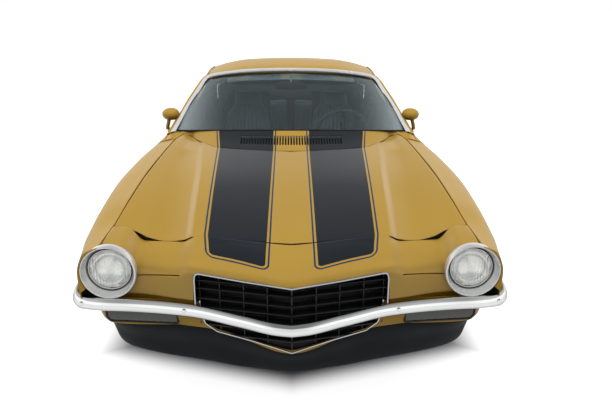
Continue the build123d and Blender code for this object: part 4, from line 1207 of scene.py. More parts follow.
# ---- Tail panel and lamps --------------------------------------------------
# Painted tail panel with four round red lamps in bright rings, and painted end
# caps that close the quarters.
TAIL = [(0, 2272, 872, 2279, 740, 2282, 620), (400, 2264, 870, 2271, 740, 2274, 620),
        (640, 2248, 848, 2257, 735, 2262, 620), (780, 2222, 808, 2231, 715, 2238, 620)]
TAIL_LAMPS, TAIL_LAMP_Z = (430, 610), 742
TAIL_RING = [(72, -4), (73, 3), (71, 7.5), (68, 8.5), (65.5, 6), (65, -4)]
holes = [round_cutter(s * x, 2260, TAIL_LAMP_Z, 69, 160) for s in (1, -1) for x in TAIL_LAMPS]
tail = pressing("tail_panel_skin", stretch(across_rows(TAIL), 90, 20), (0, 1, 0),
                (gold_paint, under_paint), gauge=6, hem=1.5, cutters=holes)
drop(*holes)
fit(tail, "body", "tail_panel")
for side, sign in SIDES:
    outer = [(736, 2259, 864), (768, 2259, 848), (800, 2259, 822), (846, 2259, 745), (880, 2259, 645),
             (876, 2259, 560), (870, 2259, 510)]
    inner = [(640, 2243, 852), (720, 2232, 826), (784, 2222, 806), (784, 2228, 740), (784, 2236, 645),
             (784, 2240, 560), (784, 2240, 505)]
    rows = [[tuple((np.array(o) * (1 - w) + np.array(i) * w
                    + np.array([0, 9 * math.sin(math.pi * w) ** 0.7, 0])) * (sign, 1, 1))
             for w in (0, 0.15, 0.4, 0.7, 1)] for o, i in zip(outer, inner)]
    cap = pressing(f"quarter_end_cap_{side}", stretch(rows, 40, 14), (0, 1, 0), (gold_paint,), gauge=2,
                   hem=0)
    fit(cap, "body")
red_glass = finish("red_lens_moulding", (0.30, 0.008, 0.008), rough=0.12, tone=0.2, grain=50, wear=0.04,
                   bump=0.1, depth=0.3, coat=0.8)
for s in (1, -1):
    for x in TAIL_LAMPS:
        y = 2271 - (x - 400) * 0.055
        tag = f"{'left' if s > 0 else 'right'}_{x}"
        rings = [(66, -22), (66, 2)]
        for k in range(11):
            r = 62 - k * 5.4
            rings += [(r + 1.6, 4 + k * 0.25), (r, 6.2 + k * 0.3), (r - 1.8, 4 + k * 0.25)]
        lamp = turned(f"tail_lens_{tag}", (s * x, y, TAIL_LAMP_Z), [*rings, (0.01, 7.5), (0.01, -22)],
                      (red_glass,), close=True, steps=72)
        fit(lamp, "body", "tail_lamps")
        ring = turned(f"tail_ring_{tag}", (s * x, y, TAIL_LAMP_Z), TAIL_RING, (chrome,), close=True,
                      steps=72)
        fit(ring, "body")

# ---- Rear bumper and valance -----------------------------------------------
# Plated blade on hidden brackets over the painted lower panel, which has the
# two plain screw holes for a plate.
VALANCE_REAR = [(0, 2280, 604, 2287, 500, 2290, 402), (400, 2272, 604, 2279, 500, 2282, 402),
                (640, 2262, 604, 2267, 500, 2268, 404), (830, 2222, 604, 2225, 500, 2226, 407)]
PLATE_HOLE = (89, 2280, 505)
holes = [round_cutter(s * PLATE_HOLE[0], *PLATE_HOLE[1:], 3.2, 80) for s in (1, -1)]
rear_valance = pressing("rear_valance_skin", stretch(across_rows(VALANCE_REAR), 80, 16), (0, 1, 0),
                        (gold_paint, under_paint), gauge=5, hem=1.0, cutters=holes)
drop(*holes)
fit(rear_valance, "body", "rear_valance")
BUMPER_REAR = [(0, 2369, 555), (300, 2364, 556), (600, 2350, 559), (760, 2336, 560), (848, 2318, 561),
               (898, 2280, 562), (918, 2220, 562), (924, 2150, 561), (926, 2080, 560)]
REAR_BLADE = [(-16, 46), (-8, 48), (2, 46), (9, 40), (14, 26), (17, 8), (18, -4), (15, -14), (11, -28),
              (5, -40), (-4, -46), (-16, -46), (-14, -38), (0, -30), (8, -4), (2, 32), (-12, 40)]
rear_bumper = rail("rear_bumper_blade", both_halves(soft_path(BUMPER_REAR, 80)), REAR_BLADE, (chrome,),
                   out=(0, 1, 0), round_to=28)
fit(rear_bumper, "body", "rear_bumper")
for s in (1, -1):
    for x, y in ((400, 2379), (760, 2352)):
        bolt = turned(f"rear_bumper_bolt_{'l' if s > 0 else 'r'}_{x}", (s * x, y, 561),
                      [(8.5, -6), (8.5, 0.5), (7.6, 2.6), (5.5, 4.2), (2.6, 5), (0.01, 5.2)], (chrome,),
                      steps=24)
        fit(bolt, "body")

# ---- Tyres -----------------------------------------------------------------
# Road tyres with four circumferential grooves, shoulder blocks cut across and
# plain ribbed sidewalls.
tyre_black = finish("tyre_rubber", (0.017, 0.017, 0.018), rough=0.72, tone=0.3, grain=260, wear=0.1,
                    bump=0.35, depth=0.4)
FRONT_TRACK, REAR_TRACK = 778, 762
WHEELS = [(end + side[0], sign * half, axle, sign) for end, half, axle in
          (("f", FRONT_TRACK, FRONT_AXLE), ("r", REAR_TRACK, REAR_AXLE)) for side, sign in SIDES]
TREAD = [(192, 94), (205, 101), (222, 104.5), (224, 105.6), (227, 105), (248, 106.5), (262, 106),
         (266, 107), (270, 105.6), (288, 102), (303, 97), (314, 91), (322, 86), (327, 80), (329, 58),
         (329.5, 57), (321, 56), (321, 50), (329.5, 49), (330, 22), (321.5, 21), (321.5, 14), (330, 13)]
TREAD += [(r, -w) for r, w in TREAD[::-1]]
TREAD += [(198, -88), (260, -96), (305, -80), (312, 0), (305, 80), (260, 96), (198, 88)]


def road_tyre(name, x, y, sign):
    """A tread profile turned round, with its shoulder and rib gaps sunk in"""
    tyre = turned(name, (x, y, AXLE_Z), TREAD, (tyre_black,), axis="X", steps=180, degrees=28, close=True)
    co = read_points(tyre.data)
    wide = (co[:, 0] / MM - x)
    dy, dz = co[:, 1] / MM - y, co[:, 2] / MM - AXLE_Z
    radius, turn = np.hypot(dy, dz), np.arctan2(dz, dy)
    step = np.round(turn / (2 * math.pi) * 180).astype(int)
    block_gap = (np.abs(wide) > 57) & (radius > 312) & (step % 3 == 0)
    rib_gap = (np.abs(wide) < 57) & (radius > 325) & ((step + (wide > 0)) % 4 == 0) & (np.abs(wide) > 20)
    radius = np.where(block_gap, radius - 7, np.where(rib_gap, radius - 3, radius))
    co[:, 1] = (y + radius * np.cos(turn)) * MM
    co[:, 2] = (AXLE_Z + radius * np.sin(turn)) * MM
    write_points(tyre.data, co)
    return tyre


for tag, x, y, sign in WHEELS:
    tyre = road_tyre(f"road_tyre_{tag}", x, y, sign)
    fit(tyre, f"wheel_{tag}", f"tyre_{tag}")

# ---- Wheels ----------------------------------------------------------------
# Steel rims with a satin trim ring, a cast five-spoke centre in dark argent,
# chrome nuts and a plain centre cap.
argent = finish("dark_argent", (0.13, 0.13, 0.135), rough=0.36, metal=0.7, tone=0.12, grain=600,
                wear=0.06, bump=0.08, depth=0.1)
rim_steel = finish("rim_enamel", (0.30, 0.30, 0.31), rough=0.36, metal=0.7, tone=0.1, grain=300,
                   bump=0.06)


def faced(sign, profile):
    """A wheel's profile turned to its outer side"""
    return [(r, sign * w) for r, w in profile]


def spoke_net(turn):
    """One spoke with raised edges, from the hub out to the rim"""
    rows = []
    for r in np.linspace(40, 171, 23):
        u = (r - 40) / 131
        half = np.interp(r, [40, 62, 100, 140, 171], [21, 27, 21, 24, 36])
        base = np.interp(r, [40, 70, 120, 160, 171], [34, 37, 42, 47, 44])
        line = []
        for w in np.linspace(-1, 1, 15):
            lift = 5.0 * math.exp(-((abs(w) - 0.78) / 0.16) ** 2) - 15 * max(0, abs(w) - 0.86) / 0.14
            across = w * half
            line.append((base + lift, r * math.cos(turn) - across * math.sin(turn),
                         r * math.sin(turn) + across * math.cos(turn)))
        rows.append(line)
    return np.array(rows)


SPOKES, BOLT_CIRCLE = 5, 58
RIM = [(201, 99), (196, 98), (189, 92), (184, 84), (181, 66), (176, 56), (171, 40), (168, 0), (166, -40),
       (172, -66), (184, -84), (189, -92), (196, -98), (201, -99), (202, -96), (192, -86), (180, -66),
       (172, -40), (174, 0), (178, 40), (187, 66), (191, 84), (202, 96)]
TRIM_RING = [(201.5, 97), (200, 100), (195, 100.5), (189, 95), (184, 86), (180, 72), (175, 62),
             (169, 58), (169, 56), (176, 59), (182, 70), (186, 84), (191, 92), (196, 97)]
HUB = [(44, 14), (70, 18), (74, 24), (72, 31), (66, 33), (54, 34), (44, 36), (30, 36), (30, 14)]
CENTRE_CAP = [(37, 30), (37, 40), (35, 45), (31, 47), (29, 45), (27, 47), (22, 51), (12, 53.5),
              (0.01, 54), (0.01, 30)]
NUT = [(10.5, 30), (10.5, 36), (9.2, 38), (8.6, 50), (7, 53), (3.5, 55), (0.01, 55.4), (0.01, 30)]
for tag, x, y, sign in WHEELS:
    centre = (x, y, AXLE_Z)
    rim = turned(f"wheel_rim_{tag}", centre, faced(sign, RIM), (rim_steel,), axis="X", close=True)
    fit(rim, f"wheel_{tag}", f"wheel_{tag}")
    ring = turned(f"trim_ring_{tag}", centre, faced(sign, TRIM_RING), (satin_bezel,), axis="X",
                  close=True)
    fit(ring, f"wheel_{tag}")
    spokes = []
    for k in range(SPOKES):
        net = spoke_net(math.radians(90 + 360 / SPOKES * k)) * (sign, 1, 1) + np.array(centre)
        spokes.append(pressing("wheel_spoke", net, (sign, 0, 0), (argent,), gauge=11, hem=1.2))
    hub = turned("wheel_hub", centre, faced(sign, HUB), (argent,), axis="X", close=True, steps=60)
    joined([hub, *spokes], f"wheel_centre_{tag}")
    fit(hub, f"wheel_{tag}")
    cap = turned(f"centre_cap_{tag}", centre, faced(sign, CENTRE_CAP), (satin_bezel,), axis="X",
                 close=True, steps=60)
    fit(cap, f"wheel_{tag}")
    nuts = []
    for k in range(SPOKES):
        a = math.radians(54 + 360 / SPOKES * k)
        nuts.append(turned("wheel_nut",
                           (x, y + BOLT_CIRCLE * math.cos(a), AXLE_Z + BOLT_CIRCLE * math.sin(a)),
                           faced(sign, NUT), (chrome,), axis="X", close=True, steps=18, degrees=25))
    joined(nuts, f"wheel_nuts_{tag}")
    fit(nuts[0], f"wheel_{tag}")

# ---- Dashboard -------------------------------------------------------------
# Padded vinyl top over a plain fascia, with a low hood over a cluster of round
# gauges in front of the driver.
dash_vinyl = finish("dash_vinyl", (0.060, 0.070, 0.074), rough=0.5, tone=0.2, grain=420, bump=0.35,
                    depth=0.5, pit=True)
rows = []
for x in np.linspace(-692, 692, 57):
    hood_lift = 1 / (1 + math.exp((abs(x - 365) - 195) / 14))
    top = 866 - 0.00003 * x * x
    rows.append([(x, -636, top - 14), (x, -626, top - 2), (x, -560, top), (x, -470, top - 1),
                 (x, -428 + 10 * hood_lift, top - 2 + 6 * hood_lift),
                 (x, -404 + 12 * hood_lift, top - 8 + 4 * hood_lift),
                 (x, -400 + 12 * hood_lift, top - 24), (x, -412 - 6 * hood_lift, top - 40),
                 (x, -424 - 14 * hood_lift, 800), (x, -432 - 16 * hood_lift, 740), (x, -440, 690),
                 (x, -470, 650), (x, -560, 642), (x, -628, 660)])
dash = pressing("dash_pad", stretch(rows, 80, 44), (0, 0.5, 1), (dash_vinyl,), gauge=6, hem=0)
fit(dash, "body", "dashboard")
dial_black = finish("dial_face", (0.012, 0.012, 0.013), rough=0.3, tone=0.2, grain=300, coat=0.6)
for x, z, r in ((285, 775, 52), (445, 775, 52), (365, 800, 26), (365, 744, 22), (200, 772, 24),
                (530, 772, 24)):
    dial = turned(f"gauge_{x}_{z}", (x, -428, z),
                  [(r, -12), (r, 2), (r - 2, 4), (r - 4, 2), (r - 5, -3), (0.3 * r, -3.4),
                   (0.12 * r, -3.2), (0.11 * r, 1), (0.01, 1.4), (0.01, -12)],
                  (dial_black,), close=True, steps=48)
    fit(dial, "body")
    bezel = turned(f"gauge_ring_{x}_{z}", (x, -428, z),
                   [(r + 2.5, -8), (r + 2.5, 3.5), (r, 5), (r - 2, 2.5), (r - 2, -8)], (chrome,),
                   close=True, steps=48)
    fit(bezel, "body")
    a = math.radians(205 + x % 90)
    needle = rail(f"gauge_needle_{x}_{z}",
                  [(x, -427.5, z), (x + 0.82 * r * math.cos(a), -427.5, z - 0.82 * r * math.sin(a))],
                  [(-1.2, 0), (0, 1.2), (1.2, 0)], (red_glass,), up=(0, 1, 0))
    fit(needle, "body")

# ---- Steering wheel --------------------------------------------------------
# Thin moulded rim on three drilled metal spokes with a padded centre, on a
# painted column.
COLUMN, COLUMN_TILT, RIM_RADIUS = (365, -150, 800), math.radians(66), 182


def on_column(piece):
    """Turns a part made flat at the origin on to the steering column"""
    piece.data.transform(Matrix.Translation(Vector(COLUMN) * MM) @ Matrix.Rotation(-COLUMN_TILT, 4, "X"))
    piece.data.update()
    fit(piece, "steering_wheel")
    return piece


rim_line = [(RIM_RADIUS * math.cos(a), RIM_RADIUS * math.sin(a), 0)
            for a in np.linspace(0, 2 * math.pi, 97)[:-1]]
rim_section = [(11.5 * math.cos(a), 13 * math.sin(a) + (1.4 if k % 2 else 0))
               for k, a in enumerate(np.linspace(0, 2 * math.pi, 15)[:-1])]
wheel_rim = on_column(rail("steering_rim", rim_line, rim_section, (dash_vinyl,), closed=True,
                           round_to=50))
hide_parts("steering_wheel")
for k, a in enumerate(np.radians((0, 180, 270))):
    rows = []
    for r in np.linspace(30, 178, 19):
        half = np.interp(r, [30, 100, 178], [23, 15, 18])
        rows.append([(r * math.cos(a) - w * math.sin(a), r * math.sin(a) + w * math.cos(a),
                      -2 - 16 * (1 - r / 180) + 2.0 * math.cos(w / half * 1.4))
                     for w in np.linspace(-half, half, 9)])
    spoke = pressing(f"steering_spoke_{k}", np.array(rows), (0, 0, 1), (satin_bezel,), gauge=3, hem=0.8)
    for r in (70, 100, 130):
        bpy.ops.mesh.primitive_cylinder_add(
            vertices=32, radius=(9 - (r - 70) / 30) * MM * 0.8, depth=0.08,
            location=(r * math.cos(a) * MM, r * math.sin(a) * MM, -0.01))
        hole = bpy.context.object
        cut(spoke, hole)
        drop(hole)
    smooth(spoke)
    on_column(spoke)
HORN_PAD = [(44, -18), (48, -10), (46, 2), (40, 9), (30, 13), (26, 12), (22, 14), (12, 15.5), (0.01, 16),
            (0.01, -18)]
JACKET = [(20, -228), (24, -226), (26, -120), (31, -112), (33, -60), (36, -52), (38, -22), (34, -16),
          (0.01, -16), (0.01, -228)]
on_column(turned("horn_pad", (0, 0, 0), HORN_PAD, (dash_vinyl,), axis="Z", close=True))
on_column(turned("steering_column", (0, 0, 0), JACKET, (under_paint,), axis="Z", close=True, steps=48))

# ---- Seats -----------------------------------------------------------------
# High-backed front buckets and a rear bench, foam under dark vinyl with welded
# pleats; each pad is blown up as cloth, then the pleats are pressed in.
seat_vinyl = finish("seat_vinyl", (0.100, 0.114, 0.122), rough=0.36, tone=0.16, grain=520, wear=0.06,
                    bump=0.3, depth=0.4, pit=True, coat=0.45)


def stuffed(name, half, shape, cap, weave):
    """A cut and sewn pad: boxed blank, remeshed, shaped, blown up and smoothed"""
    bpy.ops.object.select_all(action="DESELECT")
    bpy.ops.mesh.primitive_cube_add(size=2)
    pad = bpy.context.object
    pad.name = pad.data.name = name
    for vertex in pad.data.vertices:
        vertex.co = Vector([c * h * MM for c, h in zip(vertex.co, half)])
    apply(pad, "BEVEL", width=min(half) * 0.55 * MM, segments=4)
    apply(pad, "REMESH", mode="VOXEL", voxel_size=weave)
    start = shape((read_points(pad.data) / MM).astype(float))
    write_points(pad.data, start * MM)
    alone(pad)
    bpy.ops.object.modifier_add(type="CLOTH")
    cloth = pad.modifiers[-1]
    cloth.settings.use_pressure = True
    cloth.settings.uniform_pressure_force = 4.0
    cloth.settings.effector_weights.gravity = 0.0
    cloth.point_cache.frame_end = 20
    for moment in range(1, 21):
        bpy.context.scene.frame_set(moment)
    blown = pad.evaluated_get(bpy.context.evaluated_depsgraph_get()).to_mesh()
    move = read_points(blown) / MM - start
    pad.evaluated_get(bpy.context.evaluated_depsgraph_get()).to_mesh_clear()
    bpy.ops.object.modifier_remove(modifier=cloth.name)
    bpy.context.scene.frame_set(1)
    far = np.linalg.norm(move, axis=1)[:, None]
    move *= np.minimum(1, cap / np.maximum(far, 1e-6))
    write_points(pad.data, (start + move) * MM)
    apply(pad, "SMOOTH", factor=0.6, iterations=3)
    apply(pad, "SUBSURF", levels=1)
    return settle(pad, seat_vinyl)


def press_pleats(pad, axis, lines, face, area, deep=7.0, wide=5.0):
    """Sews straight channels into one face of a pad, and a welt round them"""
    mesh = pad.data
    co = read_points(mesh) / MM
    normal = np.zeros(len(mesh.vertices) * 3, np.float32)
    mesh.vertex_normals.foreach_get("vector", normal)
    normal = normal.reshape(-1, 3)
    facing = np.clip((normal @ np.array(face, float) - 0.25) / 0.5, 0, 1)
    (lo1, hi1), (lo2, hi2) = area
    other = [k for k in range(3) if k != axis and face[k] == 0][0]
    inside = np.minimum.reduce([co[:, axis] - lo1, hi1 - co[:, axis], co[:, other] - lo2,
                                hi2 - co[:, other]])
    near = np.min(np.abs(co[:, axis][:, None] - np.array(lines)[None]), axis=1)
    push = deep * np.exp(-((near / wide) ** 2)) * np.clip(inside / 6, 0, 1)
    push = np.maximum(push, 0.9 * deep * np.exp(-((inside / (wide * 0.9)) ** 2)))
    co = co - np.array(face, float) * (push * facing)[:, None]
    write_points(mesh, co * MM)


def back_shape(co):
    h = (co[:, 2] + 325) / 650
    narrow = np.interp(h, [0, 0.12, 0.5, 0.72, 0.84, 1.0], [0.93, 1.0, 1.0, 0.88, 0.62, 0.52])
    bolster = np.clip((np.abs(co[:, 0]) - 120) / 90, 0, 1) ** 1.5
    co[:, 1] -= 20 * bolster * (1 - np.clip((h - 0.6) / 0.25, 0, 1)) * (co[:, 1] < 0)
    co[:, 0] *= narrow
    co[:, 1] = co[:, 1] * np.interp(h, [0, 0.7, 1], [1.0, 0.9, 0.7]) - 14 * np.sin(math.pi * h) ** 2
    return co


def seat_shape(co):
    w = (co[:, 1] + 265) / 530
    bolster = np.clip((np.abs(co[:, 0]) - 110) / 80, 0, 1) ** 1.5
    co[:, 2] += 18 * bolster * (co[:, 2] > 0)
    co[:, 2] += np.where(co[:, 2] > 0, 16 * (1 - w), 0)
    co[:, 0] *= np.interp(w, [0, 0.5, 1], [0.97, 1.0, 0.95])
    return co


def bench_shape(co):
    co[:, 2] += 8 * np.cos(co[:, 0] / 280 * 1.2) * (co[:, 2] > 0)
    return co


def bench_back_shape(co):
    h = (co[:, 2] + 205) / 410
    co[:, 1] *= np.interp(h, [0, 0.7, 1], [1.1, 1.0, 0.7])
    return co


front_back = stuffed("seat_back_pad", (196, 44, 325), back_shape, 16, 0.0132)
press_pleats(front_back, 0, range(-120, 121, 30), (0, -1, 0), ((-128, 128), (-270, 196)))
front_base = stuffed("seat_base_pad", (190, 255, 58), seat_shape, 16, 0.0132)
press_pleats(front_base, 0, range(-110, 111, 28), (0, 0, 1), ((-118, 118), (-215, 190)))
rear_base = stuffed("bench_base_pad", (285, 140, 46), bench_shape, 14, 0.0165)
press_pleats(rear_base, 0, range(-220, 221, 40), (0, 0, 1), ((-236, 236), (-96, 96)))
rear_back = stuffed("bench_back_pad", (282, 46, 205), bench_back_shape, 14, 0.0165)
press_pleats(rear_back, 0, range(-220, 221, 40), (0, -1, 0), ((-236, 236), (-150, 160)))


def seated(pad, name, place, node):
    """Sets a copy of a pad in its place in the cabin"""
    piece = pad.copy()
    piece.data = pad.data.copy()
    piece.name = piece.data.name = name
    bpy.context.collection.objects.link(piece)
    piece.data.transform(place)
    piece.data.update()
    smooth(piece, 60)
    fit(piece, "body", node)
    return piece


def spot(x, y, z, lean=0.0):
    return Matrix.Translation(Vector((x, y, z)) * MM) @ Matrix.Rotation(math.radians(lean), 4, "X")


for side, sign in SIDES:
    seated(front_back, f"front_seat_back_{side}", spot(sign * 335, 352, 705, -14), "front_seats")
    seated(front_base, f"front_seat_base_{side}", spot(sign * 345, 62, 342, 3), "front_seats")
    seated(rear_base, f"rear_bench_base_{side}", spot(sign * 302, 788, 398, 4), "rear_seat")
    seated(rear_back, f"rear_bench_back_{side}", spot(sign * 300, 972, 655, -24), "rear_seat")
    rows = [[(sign * (335 + w), y, z)
             for y, z in ((408, 420), (470, 640), (505, 800), (528, 930), (520, 992))]
            for w in (-168, -150, 0, 150, 168)]
    shell = pressing(f"seat_shell_{side}", stretch(rows, 24, 40), (0, 1, 0.3), (dash_vinyl,), gauge=6,
                     hem=2)
    fit(shell, "body")
    rows = [[(sign * (345 + w), y, 230 + h) for w, h in ((-150, 0), (-148, 52), (148, 52), (150, 0))]
            for y in (-160, 60, 290)]
    track = pressing(f"seat_track_{side}", stretch(rows, 20, 24), (0, 0, 1), (under_paint,), gauge=3,
                     hem=1)
    fit(track, "body")
drop(front_back, front_base, rear_base, rear_back)

# ---- Cabin trim ------------------------------------------------------------
# Moulded carpet over the floor and tunnel, a package shelf and rear side trim, a
# shifter, two sun visors and the inside mirror hung from the header.
carpet = finish("loop_carpet", (0.018, 0.019, 0.021), rough=0.95, tone=0.45, grain=700, bump=0.9,
                depth=1.2)
rows = []
for y in (-892, -860, -600, -330, -290, 200, 640, 696):
    high = 478 if y < -310 else 418
    wide = (186, 160) if y < -310 else (186, 140)
    rise = 90 if y == -892 else (30 if y == -860 else 0)
    rows.append([(-755, y, 229 + rise), (-500, y, 229 + rise), (-wide[0] - 6, y, 230 + rise),
                 (-wide[1], y, high - 14), (-wide[1] + 26, y, high), (0, y, high + 2),
                 (wide[1] - 26, y, high), (wide[1], y, high - 14), (wide[0] + 6, y, 230 + rise),
                 (500, y, 229 + rise), (755, y, 229 + rise)])
mat = pressing("floor_carpet", stretch(rows, 60, 76), (0, 0, 1), (carpet,), gauge=2, hem=0)
fit(mat, "body")
SHELF = [(940, 400), (1000, 560), (1078, 800), (1100, 858), (1130, 874), (1300, 896), (1500, 914)]
rows = [[(x, y, z) for y, z in SHELF] for x in (-624, -300, 0, 300, 624)]
shelf = pressing("package_shelf", stretch(rows, 40, 50), (0, -0.5, 1), (carpet,), gauge=4, hem=0)
fit(shelf, "body")
for side, sign in SIDES:
    rows = [[(sign * x, y, z) for x, z in zip(line, (440, 660, 760, 872, 886))]
            for y, line in ((660, (748, 748, 745, 738, 706)), (890, (735, 738, 740, 738, 700)),
                            (950, (636, 640, 690, 732, 690)), (1140, (620, 622, 680, 728, 640)))]
    panel = pressing(f"rear_trim_{side}", stretch(rows, 40, 30), (-sign, 0, 0), (door_trim,), gauge=4,
                     hem=0)
    fit(panel, "body")
lever = rail("shift_lever", [(0, -250, 412), (0, -252, 470), (0, -240, 540), (0, -222, 590)],
             round_section(6, 12), (chrome,), up=(1, 0, 0), samples=16)
KNOB = [(8, -18), (17, -12), (22, -2), (20, 9), (12, 17), (0.01, 20), (0.01, -18)]
BOOT = [(70, -4), (62, 2), (46, 12), (50, 18), (34, 30), (38, 36), (20, 52), (8, 60), (7, 56),
        (0.01, 54), (0.01, -4)]
knob = turned("shift_knob", (0, -218, 606), KNOB, (dash_vinyl,), axis="Z", close=True, steps=36)
boot = turned("shift_boot", (0, -252, 420), BOOT, (black_rubber,), axis="Z", close=True, steps=40)
for piece in (lever, knob, boot):
    fit(piece, "body")
for side, sign in SIDES:
    rows = [[(sign * (300 + w), -16 + d * 84,
              1190 + d * 14 - 0.00012 * (300 + w) ** 2 - 5 * (abs(d - 0.5) > 0.48))
             for w in np.linspace(-180, 180, 21)] for d in np.linspace(0, 1, 13)]
    visor = pressing(f"sun_visor_{side}", np.array(rows), (0, 0, -1), (headliner,), gauge=7, hem=2)
    fit(visor, "body")
rows = [[(w * 112 * (1 - 0.10 * abs(v) ** 3), -128 - 7 * math.cos(v * 1.2),
          1123 + v * 27 * (1 - 0.30 * abs(w) ** 4))
         for w in np.linspace(-1, 1, 25)] for v in np.linspace(-1, 1, 11)]
inner_mirror = pressing("inside_mirror", np.array(rows), (0, -1, 0), (black_rubber, mirror_glass),
                        gauge=11, hem=2)
stem = rail("mirror_stem", [(0, -122, 1126), (0, -100, 1150), (0, -76, 1168), (0, -40, 1186)],
            round_section(5, 10), (chrome,), up=(1, 0, 0), samples=14)
for piece in (inner_mirror, stem):
    fit(piece, "body")

# ---- Underbody, running gear and engine ------------------------------------
# The steel and iron under the skin keeps its made shape and takes its finish:
# satin black chassis, grey castings, painted block and bare exhaust.
chassis_black = finish("chassis_black", (0.020, 0.020, 0.021), rough=0.55, tone=0.3, grain=160,
                       bump=0.35, depth=0.4)
cast_iron = finish("cast_iron", (0.16, 0.155, 0.15), rough=0.6, metal=0.6, tone=0.25, grain=240,
                   bump=0.5, depth=0.5)
block_paint = finish("block_enamel", (0.30, 0.055, 0.018), rough=0.42, tone=0.15, grain=120, bump=0.25,
                     depth=0.4)
bare_steel = finish("exhaust_steel", (0.32, 0.30, 0.28), rough=0.42, metal=0.9, tone=0.25, grain=60,
                    wear=0.12, bump=0.2)
for node, tone in (("floor_pan", chassis_black), ("subframe", chassis_black), ("radiator", chassis_black),
                   ("rear_axle", chassis_black), ("exhaust", bare_steel), ("engine", block_paint),
                   ("knuckle_left", cast_iron), ("knuckle_right", cast_iron)):
    settle(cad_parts[node], tone)
LID_TOP = [(160, -40), (176, -36), (178, -30), (176, -4), (172, 0), (158, 3), (150, 1.5), (60, 5),
           (30, 6), (24, 4), (12, 4.5), (0.01, 5), (0.01, -40)]
WING_NUT = [(8, -2), (9, 2), (12, 6), (10, 12), (4, 14), (0.01, 14), (0.01, -2)]
lid_top = turned("air_cleaner_lid", (0, -1480, 776), LID_TOP, (chrome,), axis="Z", close=True)
fit(lid_top, "body")
nut = turned("air_cleaner_nut", (0, -1480, 782), WING_NUT, (chrome,), axis="Z", close=True, steps=24)
fit(nut, "body")
COVER = [(-74, 0), (-70, 26), (-58, 42), (-30, 48), (0, 49), (30, 46), (56, 36), (70, 16), (74, 0)]
for side, sign in SIDES:
    rows = []
    for w in np.linspace(0, 1, 33):
        y = -1745 + 530 * w
        end = min(1, min(w, 1 - w) / 0.05)
        rib = 1.6 if 0.12 < w < 0.88 and int(w * 60) % 3 == 0 else 0
        rows.append([(sign * (250 + a), y, 690 + h * (0.25 + 0.75 * end) + (rib if abs(a) < 40 else 0))
                     for a, h in COVER])
    cover = pressing(f"rocker_cover_{side}", stretch(rows, 60, 20), (0, 0, 1), (chrome,), gauge=2, hem=0)
    fit(cover, "body")
rows = [[(x, y, z) for z in (560, 664, 682)]
        for x, y in ((-360, -1990), (-600, -1990), (-600, -1820), (-360, -1820), (-360, -1990))]
battery = pressing("battery_case", stretch(rows, 40, 12), (0, -1, 0), (dash_vinyl,), gauge=3, hem=0)
rows = [[(x, y, z) for y, z in ((-1990, 680), (-1985, 684), (-1905, 686), (-1825, 684), (-1820, 680))]
        for x in (-600, -595, -480, -365, -360)]
cap = pressing("battery_top", stretch(rows, 24, 20), (0, 0, 1), (dash_vinyl,), gauge=3, hem=0)
HOSE = [(150, -2080, 668), (150, -2040, 690), (140, -1960, 716), (90, -1880, 724), (60, -1830, 700)]
hose = rail("radiator_hose", HOSE,
            round_section(19, 18), (black_rubber,), up=(1, 0, 0), samples=40)
for piece in (battery, cap, hose):
    fit(piece, "body")

# ---- Studio ----------------------------------------------------------------
# White paper floor that keeps the car's soft shadow, with a painted shadow where its
# glow fades out under the car, a plain white sky that paint and metal mirror as a
# darker one, two soft boxes and the camera.
GLOW_BEYOND_PAINTED_SHADOW = 0.90
floor_tone = bpy.data.materials.new("floor_paper")
floor_tone.use_nodes = True
tree = floor_tone.node_tree
paper = wire(tree, tree.nodes["Principled BSDF"],
             {"Base Color": (0.25, 0.25, 0.25, 1), "Roughness": 0.9, "Specular IOR Level": 0.1})
rays = add_node(tree, "LightPath").outputs
seen = reckon(tree, "MAXIMUM", rays["Is Camera Ray"],
              reckon(tree, "MULTIPLY", rays["Is Glossy Ray"], 0.6))
seen = reckon(tree, "MAXIMUM", seen, rays["Is Transmission Ray"])
# Painted shadow: the glow fades to nothing in a patch under the car, fading out near its outline, so that
# patch reads darker; the car's real shadow darkens it further.
ground = add_node(tree, "SeparateXYZ", {0: add_node(tree, "TexCoord").outputs["Object"]}).outputs
off_side, off_end = (reckon(tree, "ABSOLUTE", ground[k]) for k in "XY")
ends = reckon(tree, "MULTIPLY_ADD", off_side, 0.33, off_end)
clear = reckon(tree, "MAXIMUM", spread(tree, ends, 1.93, 2.13, 0, GLOW_BEYOND_PAINTED_SHADOW, "SMOOTHSTEP"),
               spread(tree, off_side, 0.80, 1.04, 0, GLOW_BEYOND_PAINTED_SHADOW, "SMOOTHSTEP"))
glow = add_node(tree, "Emission", {"Strength": reckon(tree, "MULTIPLY", clear, seen)})
gain = add_node(tree, "BsdfDiffuse", {"Color": reckon(tree, "MULTIPLY", seen, 0.25)})
lit = add_node(tree, "AddShader", {0: paper.outputs[0], 1: gain.outputs[0]})
total = add_node(tree, "AddShader", {0: lit.outputs[0], 1: glow.outputs[0]})
wire(tree, tree.nodes["Material Output"], {"Surface": total.outputs[0]})
bpy.ops.mesh.primitive_plane_add(size=120, location=(0, 0, 0))
floor_sheet = bpy.context.object
floor_sheet.name = "studio_floor"
floor_sheet.data.materials.append(floor_tone)

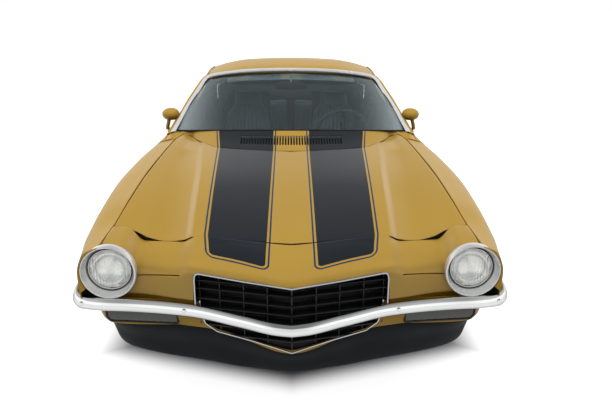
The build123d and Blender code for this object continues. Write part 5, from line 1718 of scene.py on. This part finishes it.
world = bpy.data.worlds.new("studio_world")
bpy.context.scene.world = world
world.use_nodes = True
tree = world.node_tree
view = add_node(tree, "SeparateXYZ", {0: add_node(tree, "TexCoord").outputs["Generated"]}).outputs
band = spread(tree, view["Z"], -0.1, 0.9, 0.08, 0.90)
ahead = spread(tree, view["Z"], 0.32, 0.50, 0.80, 0.20, "SMOOTHSTEP")
beside = spread(tree, reckon(tree, "ABSOLUTE", view["X"]), 0.12, 0.5, 0, 0.34, "SMOOTHSTEP")
rays = add_node(tree, "LightPath").outputs
polished = mixed(tree, rays["Is Glossy Ray"], band, reckon(tree, "ADD", ahead, beside), data_type="FLOAT")
direct = reckon(tree, "MAXIMUM", rays["Is Camera Ray"], rays["Is Transmission Ray"])
level = mixed(tree, direct, polished, 1.0, data_type="FLOAT")
wire(tree, tree.nodes["Background"], {"Strength": level, "Color": (1, 1, 1, 1)})

for name, place, size, power, aim in (
    ("overhead_softbox", (0.0, -0.6, 4.6), (3.6, 6.0), 102, (0, -0.4, 0)),
    ("front_softbox", (-3.4, -5.6, 3.0), (3.0, 2.0), 5, (0, -1.6, 0.5)),
):
    bpy.ops.object.light_add(type="AREA", location=place)
    lamp = bpy.context.object
    lamp.name = name
    lamp.data.shape = "RECTANGLE"
    lamp.data.size, lamp.data.size_y = size
    lamp.data.energy = power
    lamp.visible_glossy = False
    lamp.rotation_euler = (Vector(aim) - Vector(place)).to_track_quat("-Z", "Y").to_euler()

FOCAL_PIXELS, PICTURE_PIXELS, SENSOR = 630.85, 612, 36.0
bpy.ops.object.camera_add(location=(-0.002, -4.562, 1.731))
camera = bpy.context.object
camera.name = "studio_camera"
camera.data.sensor_width = SENSOR
camera.data.lens = SENSOR * FOCAL_PIXELS / PICTURE_PIXELS
camera.data.clip_end = 200
pitch, yaw, roll = (math.radians(a) for a in (18.59, 1.43, 0.32))
forward = Vector((math.sin(yaw) * math.cos(pitch), math.cos(yaw) * math.cos(pitch), -math.sin(pitch)))
right = Vector((math.cos(yaw), -math.sin(yaw), 0))
up = right.cross(forward)
right, up = right * math.cos(roll) + up * math.sin(roll), up * math.cos(roll) - right * math.sin(roll)
turned_frame = Matrix((right, up, -forward)).transposed()
camera.rotation_euler = turned_frame.to_euler()
bpy.context.scene.camera = camera
bpy.context.scene.view_settings.view_transform = "Standard"
